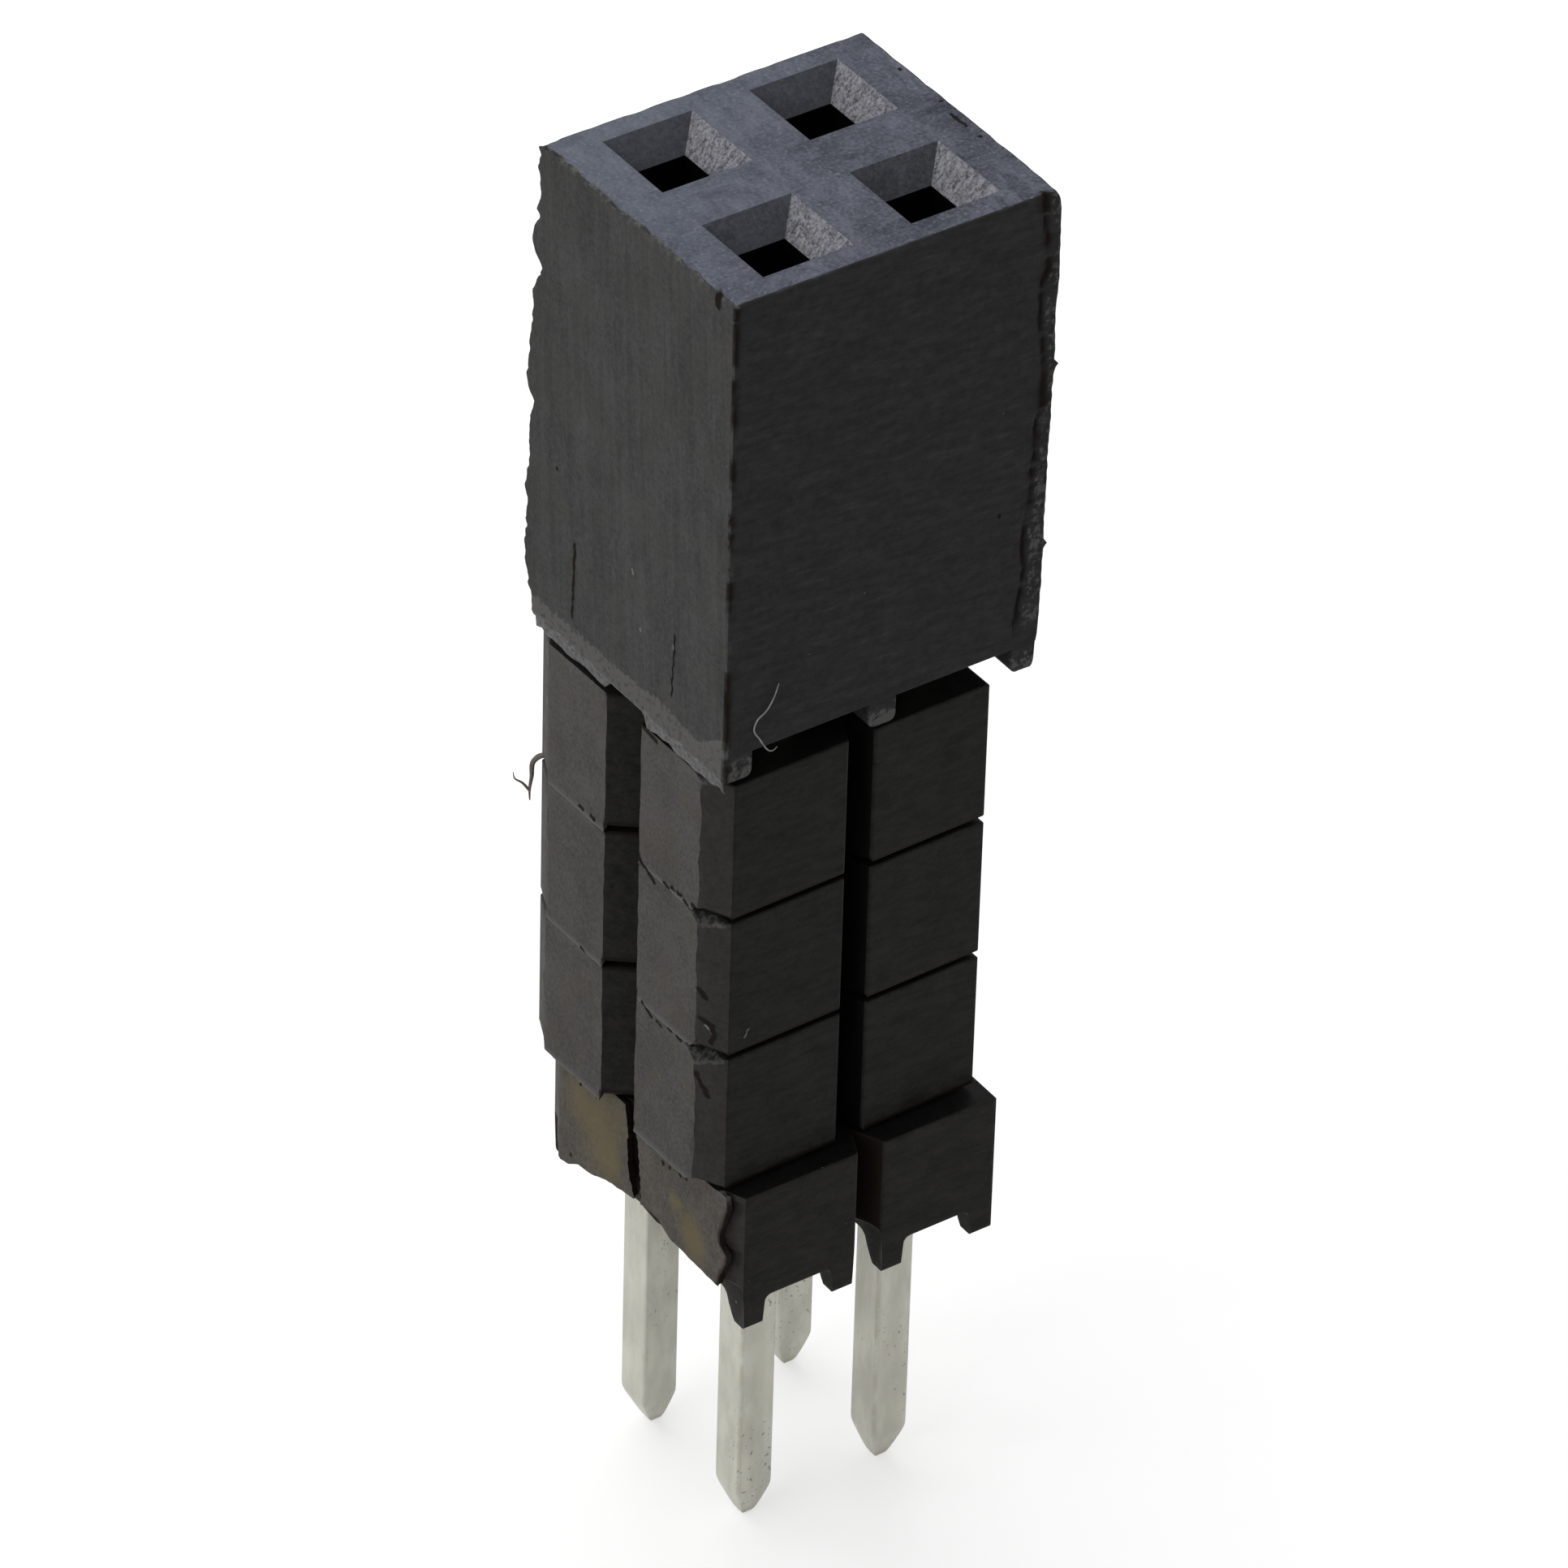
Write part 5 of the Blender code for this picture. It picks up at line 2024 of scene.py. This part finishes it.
@dataclass
class Thread:
    """A fine thread: a ring of constant or tapering radius carried along a smooth path."""

    name: str
    path: tuple[tuple[float, float, float], ...]
    radius: float
    taper: float = 0.3
    tail: float = 1.0

    def build(self) -> bpy.types.Object:
        """Make the thread's piece.

        The path is read from a smooth curve through the given points, and each ring stands square
        to it. The radius falls towards both ends by a share of sin(pi t), and along the thread
        from 1 to the tail's share.

        Returns:
            The linked object.
        """
        knots = np.array(self.path)
        run = np.concatenate([[0.0], np.cumsum(np.linalg.norm(np.diff(knots, axis=0), axis=1))])
        slope = np.gradient(knots, run, axis=0)
        t = np.linspace(0.0, run[-1], 90)
        cell = np.clip(np.searchsorted(run, t) - 1, 0, len(run) - 2)
        width = (run[cell + 1] - run[cell])[:, None]
        s = ((t - run[cell])[:, None]) / width
        line = (2 * s**3 - 3 * s**2 + 1) * knots[cell] + (s**3 - 2 * s**2 + s) * width * slope[cell]
        line += (3 * s**2 - 2 * s**3) * knots[cell + 1] + (s**3 - s**2) * width * slope[cell + 1]
        along = np.gradient(line, axis=0)
        along /= np.linalg.norm(along, axis=1, keepdims=True)
        side = np.cross(along, (0.36, -0.81, 0.46))
        side /= np.linalg.norm(side, axis=1, keepdims=True)
        other = np.cross(along, side)
        turn = np.linspace(0.0, 2.0 * math.pi, 8, endpoint=False)
        share = np.sin(math.pi * np.linspace(0.0, 1.0, len(line))) ** 0.4
        radius = self.radius * (self.taper + (1.0 - self.taper) * share)
        radius = radius * np.linspace(1.0, self.tail, len(line))
        radius[0] = radius[-1] = 0.0
        spokes = np.cos(turn)[None, :, None] * side[:, None] + np.sin(turn)[None, :, None] * other[:, None]
        rings = line[:, None] + spokes * radius[:, None, None]
        return write_tube(self.name, rings)


@dataclass
class CurledBurr:
    """Curled saw burr at the rear of the sawn end, between the upper and the middle spacer.

    Each strand is given by how far it runs out along the lean and how far it rises from the root.
    """

    root: Point = (-2.58, 2.63, 7.67)
    lean: tuple[float, float] = (-0.37, 0.31)
    strands: tuple[tuple[float, tuple[tuple[float, float], ...]], ...] = (
        (0.055, ((-0.10, 0.02), (0.05, -0.01), (0.226, -0.10), (0.30, -0.41), (0.36, -0.667), (0.35, -0.85))),
        (0.028, ((0.36, -0.667), (0.60, -0.53), (0.83, -0.46), (0.88, -0.34))),
    )

    def build(self) -> list[bpy.types.Object]:
        """Make one thread per strand.

        Returns:
            The linked objects.
        """
        pieces = []
        for number, (radius, strand) in enumerate(self.strands):
            x, y, z = self.root
            path = tuple((x + out * self.lean[0], y + out * self.lean[1], z + rise) for out, rise in strand)
            pieces.append(Thread(f"curled_burr_{number + 1}", path, radius, 0.7, 0.25).build())
        return pieces


@dataclass
class Studio:
    """Camera, pale floor and soft light."""

    azimuth: float = -35.325
    elevation: float = 36.840
    roll: float = 1.675
    place: tuple[float, float, float] = (-71.02, -100.24, 99.80)
    lens: float = 236.32
    sensor: float = 36.0
    floor_half: float = 1500.0
    floor_white: float = 0.6
    floor_glow: float = 0.52
    surround: float = 0.42

    def camera(self) -> None:
        """Set the camera at the photograph's viewing angle."""
        a, e, roll = (math.radians(v) for v in (self.azimuth, self.elevation, self.roll))
        back = Vector((math.sin(a) * math.cos(e), -math.cos(a) * math.cos(e), math.sin(e)))
        right = Vector((math.cos(a), math.sin(a), 0.0))
        up = back.cross(right)
        tilted = math.cos(roll) * right + math.sin(roll) * up
        upright = math.cos(roll) * up - math.sin(roll) * right
        data = bpy.data.cameras.new("camera")
        data.lens = self.lens
        data.sensor_width = self.sensor
        data.clip_start = 5.0 * MM
        data.clip_end = 10.0
        camera = bpy.data.objects.new("camera", data)
        turn = Matrix((tilted, upright, back)).transposed().to_4x4()
        camera.matrix_world = Matrix.Translation(Vector(self.place) * MM) @ turn
        bpy.context.scene.collection.objects.link(camera)
        bpy.context.scene.camera = camera

    def seen(self, kit: NodeKit) -> object:
        """Find the rays that see plain white.

        Args:
            kit: Node kit of the material or the world.

        Returns:
            Socket with 1 for camera, glossy and transmission rays.
        """
        path = kit.add("ShaderNodeLightPath").outputs
        direct = kit.math("MAXIMUM", path["Is Camera Ray"], path["Is Glossy Ray"])
        return kit.math("MAXIMUM", direct, path["Is Transmission Ray"])

    def floor(self, height: float) -> None:
        """Lay the pale floor under the post tips.

        Args:
            height: Height of the tips in millimetres.
        """
        half = self.floor_half * MM
        corners = [(-half, -half, 0.0), (half, -half, 0.0), (half, half, 0.0), (-half, half, 0.0)]
        mesh = bpy.data.meshes.new("floor")
        mesh.from_pydata([(x, y, height * MM) for x, y, _ in corners], [], [(0, 1, 2, 3)])
        floor = bpy.data.objects.new("floor", mesh)
        bpy.context.scene.collection.objects.link(floor)
        material, kit, shader = new_material("pale_floor")
        shader.inputs["Base Color"].default_value = (self.floor_white,) * 3 + (1.0,)
        shader.inputs["Roughness"].default_value = 0.9
        shader.inputs["Specular IOR Level"].default_value = 0.0
        shader.inputs["Emission Color"].default_value = (1.0, 1.0, 1.0, 1.0)
        kit.feed(shader.inputs["Emission Strength"], kit.times(self.seen(kit), self.floor_glow))
        mesh.materials.append(material)

    def world(self) -> None:
        """Light the object softly from all round, and show plain white behind it."""
        world = bpy.data.worlds.new("studio")
        world.use_nodes = True
        bpy.context.scene.world = world
        kit = NodeKit(world.node_tree)
        shader = world.node_tree.nodes["Background"]
        shader.inputs["Color"].default_value = (1.0, 1.0, 1.0, 1.0)
        kit.feed(shader.inputs["Strength"], kit.mix(self.seen(kit), self.surround, 1.0, Data.NUMBER))

    def softbox(self, name: str, place: tuple[float, float, float], side: float, radiance: float) -> None:
        """Hang a square softbox that faces the object.

        Args:
            name: Name of the lamp.
            place: Place of its middle in millimetres.
            side: Side of its square in millimetres.
            radiance: Brightness of its face, where 1 is white.
        """
        data = bpy.data.lights.new(name, "AREA")
        data.shape = "SQUARE"
        data.size = side * MM
        data.energy = radiance * math.pi * (side * MM) ** 2
        lamp = bpy.data.objects.new(name, data)
        lamp.location = Vector(place) * MM
        aim = Vector((0.0, 0.0, 8.0)) * MM - lamp.location
        lamp.rotation_euler = aim.to_track_quat("-Z", "Y").to_euler()
        bpy.context.scene.collection.objects.link(lamp)

    def build(self, height: float) -> None:
        """Build the camera, the floor and the lights.

        Args:
            height: Height of the floor in millimetres.
        """
        self.camera()
        self.floor(height)
        self.world()
        self.softbox("top_softbox", (0.0, 160.0, 278.0), 400.0, 1.40)
        self.softbox("left_softbox", (-290.0, 0.0, 128.0), 260.0, 1.68)
        bpy.context.scene.view_settings.view_transform = "Standard"


SAWN_END = -2.785
HOUSING_TOP = 18.78
HOUSING_FRONT = -2.46
BASE_END = -2.54


def spot(x: float, y: float, z: float, width: float, length: float = 0.03) -> Tear:
    """A mark that is hardly longer than it is wide, drawn downwards from its place."""
    return Tear(width, ((x, y, z), (x, y, z - length)))


def seam_crumb(y: float, z: float) -> Tear:
    """A dark bit of crumbled plastic in a seam of the sawn ends, drawn along the seam."""
    return Tear(0.045, ((-2.778 - 0.019 * y, y, z), (-2.776 - 0.019 * y, y - 0.10, z - 0.02)))


HOUSING_PLASTIC = PlasticFinish(
    name="housing_plastic",
    skin=((0.0215, 0.0212, 0.0216, 1.0), (0.0440, 0.0433, 0.0440, 1.0)),
    # Painted sheen: the top is bluish and much paler than the sides because of how light falls on it.
    top=((0.034, 0.038, 0.052, 1.0), (0.132, 0.141, 0.174, 1.0)),
    sawn=((0.037, 0.0367, 0.0366, 1.0), (0.077, 0.0763, 0.0758, 1.0)),
    stain=(0.062, 0.060, 0.055, 1.0),
    stain_share=0.3,
    streak=0.32,
    wear=0.3,
    smear=(0.102, 0.100, 0.098, 1.0),
    skin_roughness=0.55,
    specular=0.03,
    grain_size=0.12,
    grain_depth=0.005,
    scratch=(0.058, 0.060, 0.067, 1.0),
    scratch_share=0.6,
    dark_tears=(
        Tear(0.045, ((SAWN_END, 1.50, 12.31), (SAWN_END, 1.555, 10.98))),
        Tear(0.035, ((SAWN_END, -1.128, 12.27), (SAWN_END, -1.11, 11.90), (SAWN_END, -1.065, 11.17))),
        Tear(0.110, ((SAWN_END, -2.01, 18.74), (SAWN_END, -2.02, 18.58))),
        spot(SAWN_END, 1.981, 13.40, 0.045),
        spot(SAWN_END, -2.437, 18.49, 0.055),
        spot(2.669, 1.333, HOUSING_TOP, 0.05),
        spot(2.673, 0.314, HOUSING_TOP, 0.045),
        Tear(0.04, ((2.608, -0.023, HOUSING_TOP), (2.602, -0.397, HOUSING_TOP))),
        spot(2.611, -0.728, HOUSING_TOP, 0.05),
        spot(1.97, HOUSING_FRONT, 13.41, 0.04),
    ),
    pale_tears=(
        spot(SAWN_END, -0.002, 12.75, 0.035),
        spot(SAWN_END, -0.238, 11.86, 0.035),
        spot(SAWN_END, -1.09, 12.06, 0.035),
        spot(0.346, -0.443, HOUSING_TOP, 0.04),
    ),
)

SEAM_CRUMBS = (
    (-0.96, 7.67), (-1.13, 7.70), (-1.30, 7.71), (-1.47, 7.66), (-1.66, 7.70),
    (-0.83, 4.98), (-1.10, 5.05), (-1.35, 5.05), (-1.62, 5.07), (0.95, 7.72), (1.25, 7.70), (1.15, 5.10),
)

SPACER_PLASTIC = PlasticFinish(
    name="spacer_plastic",
    skin=((0.0105, 0.0101, 0.0095, 1.0), (0.0265, 0.0257, 0.0243, 1.0)),
    # Painted shade: the spacers' tops lie in the shade under the piece above.
    top=((0.006, 0.0058, 0.0056, 1.0), (0.010, 0.0097, 0.0094, 1.0)),
    sawn=((0.054, 0.0522, 0.0490, 1.0), (0.092, 0.0895, 0.0845, 1.0)),
    stain=(0.088, 0.073, 0.058, 1.0),
    stain_share=0.28,
    streak=0.08,
    flake_and_sheen=(0.012, 0.0117, 0.0113, 1.0),
    skin_roughness=0.45,
    specular=0.04,
    grain_size=0.3,
    grain_depth=0.003,
    dark_tears=(
        Tear(0.070, ((-2.772, -0.33, 7.70), (-2.765, -0.692, 7.516))),
        Tear(0.055, ((-2.769, -0.463, 5.099), (-2.765, -0.678, 4.986))),
        Tear(0.070, ((-2.72, -1.839, 6.245), (-2.666, -1.944, 6.125))),
        Tear(
            0.065,
            (
                (-2.706, -1.866, 5.724), (-2.612, -2.051, 5.64),
                (-2.592, -2.091, 5.489), (-2.615, -2.046, 5.316),
            ),
        ),
        Tear(0.060, ((-2.721, -1.836, 4.659), (-2.63, -2.016, 4.288))),
        Tear(0.060, ((-2.772, -0.335, 10.15), (-2.765, -0.684, 10.079))),
        *(seam_crumb(y, z) for y, z in SEAM_CRUMBS),
    ),
    crumbs=0.3,
    pale_tears=(
        spot(-2.788, 0.512, 9.49, 0.040),
        spot(-2.786, 0.404, 9.36, 0.035),
        spot(-2.788, 0.503, 9.12, 0.035),
        Tear(0.028, ((-2.66, -1.95, 5.62), (-2.615, -2.045, 5.56), (-2.605, -2.06, 5.49))),
        Tear(0.022, ((-2.118, -2.30, 5.533), (-2.187, -2.30, 5.425))),
    ),
)

BASE_PLASTIC = PlasticFinish(
    name="base_plastic",
    skin=((0.0122, 0.0119, 0.0110, 1.0), (0.0280, 0.0271, 0.0252, 1.0)),
    # Painted shade: the base's ledge lies in the shade under the spacer above.
    top=((0.005, 0.0048, 0.0046, 1.0), (0.010, 0.0097, 0.0094, 1.0)),
    sawn=((0.060, 0.056, 0.051, 1.0), (0.108, 0.098, 0.086, 1.0)),
    stain=(0.140, 0.116, 0.062, 1.0),
    stain_share=0.7,
    streak=0.05,
    wear=0.3,
    patches=(
        ((BASE_END, 1.05, 1.72), 0.72),
        ((BASE_END, 0.89, 1.27), 0.66),
        ((BASE_END, -1.61, 1.25), 0.34),
        ((BASE_END, -1.10, 1.60), 0.16),
    ),
    flake_and_sheen=(0.012, 0.0117, 0.0113, 1.0),
    # Painted shade, dark brown, in the crack, the hidden slot and the holes.
    painted_shade=(0.0120, 0.0085, 0.0066, 1.0),
    crumbs=0.3,
    skin_roughness=0.45,
    specular=0.04,
    grain_size=0.3,
    grain_depth=0.004,
    dark_tears=tuple(
        spot(BASE_END, y, z, 0.042)
        for y, z in (
            (1.695, 2.18), (1.515, 2.14), (1.225, 2.21), (1.069, 2.20),
            (-0.752, 2.13), (-0.927, 2.17), (-1.211, 2.22), (-1.363, 2.25), (1.754, 0.60),
        )
    ),
)

TIN = TinFinish(
    name="tin_plating",
    pale=(0.57, 0.568, 0.495, 1.0),
    dull=(0.47, 0.468, 0.405, 1.0),
    warm=(0.40, 0.37, 0.29, 1.0),
    speck=(0.15, 0.148, 0.13, 1.0),
    roughness=0.42,
)

LINT = LintFinish("lint", (0.33, 0.33, 0.33, 1.0))
CURL = LintFinish("curled_plastic", (0.120, 0.100, 0.080, 1.0))

CORNER_CUTS = {"lower": 0.26, "middle": 0.22, "upper": 0.12}
POST_BENDS = {"rear_left": (-0.023, 0.062), "rear_right": (0.015, 0.085)}
FIBRE = (
    (-1.888, -2.50, 11.932), (-1.994, -2.51, 11.684), (-2.103, -2.51, 11.523), (-2.27, -2.51, 11.40),
    (-2.324, -2.52, 11.275), (-2.233, -2.53, 11.078), (-1.969, -2.52, 10.768), (-1.884, -2.50, 10.792),
)


def main() -> None:
    """Build every piece in order, dress it and set up the studio."""
    logging.basicConfig(level=logging.INFO, format="%(name)s: %(message)s")
    grid = Grid()
    Effects().build()
    Studio().build(float(CAD_BOUNDS[0][2]) / MM)

    housing = Housing(grid)
    dress(housing.build(), HOUSING_PLASTIC.build(), "socket_housing")

    spacer = SPACER_PLASTIC.build()
    for number, (level, cut) in enumerate(CORNER_CUTS.items()):
        place = {"slide": (-0.2416, 0.2030), "corner_cut": cut, "seed": 30 + 11 * number}
        strip = Strip(grid, f"{level}_spacer_strip", f"spacer_{level}", **place)
        dress(strip.build(), spacer, strip.node)
    base = FootedStrip(grid, "footed_strip", "base_spacer", seed=77)
    dress(base.build(), BASE_PLASTIC.build(), base.node)

    tin = TIN.build()
    for name, x, y in grid.centres():
        contact = Contact(name, x, y, housing, bend=POST_BENDS.get(name, (0.0, 0.0)))
        dress(contact.build(), tin, f"contact_{name}")

    curl = CURL.build()
    for burr in CurledBurr().build():
        dress(burr, curl, None)
    dress(Thread("lint_fibre", FIBRE, 0.012).build(), LINT.build(), None)


if __name__ == "__main__":
    main()
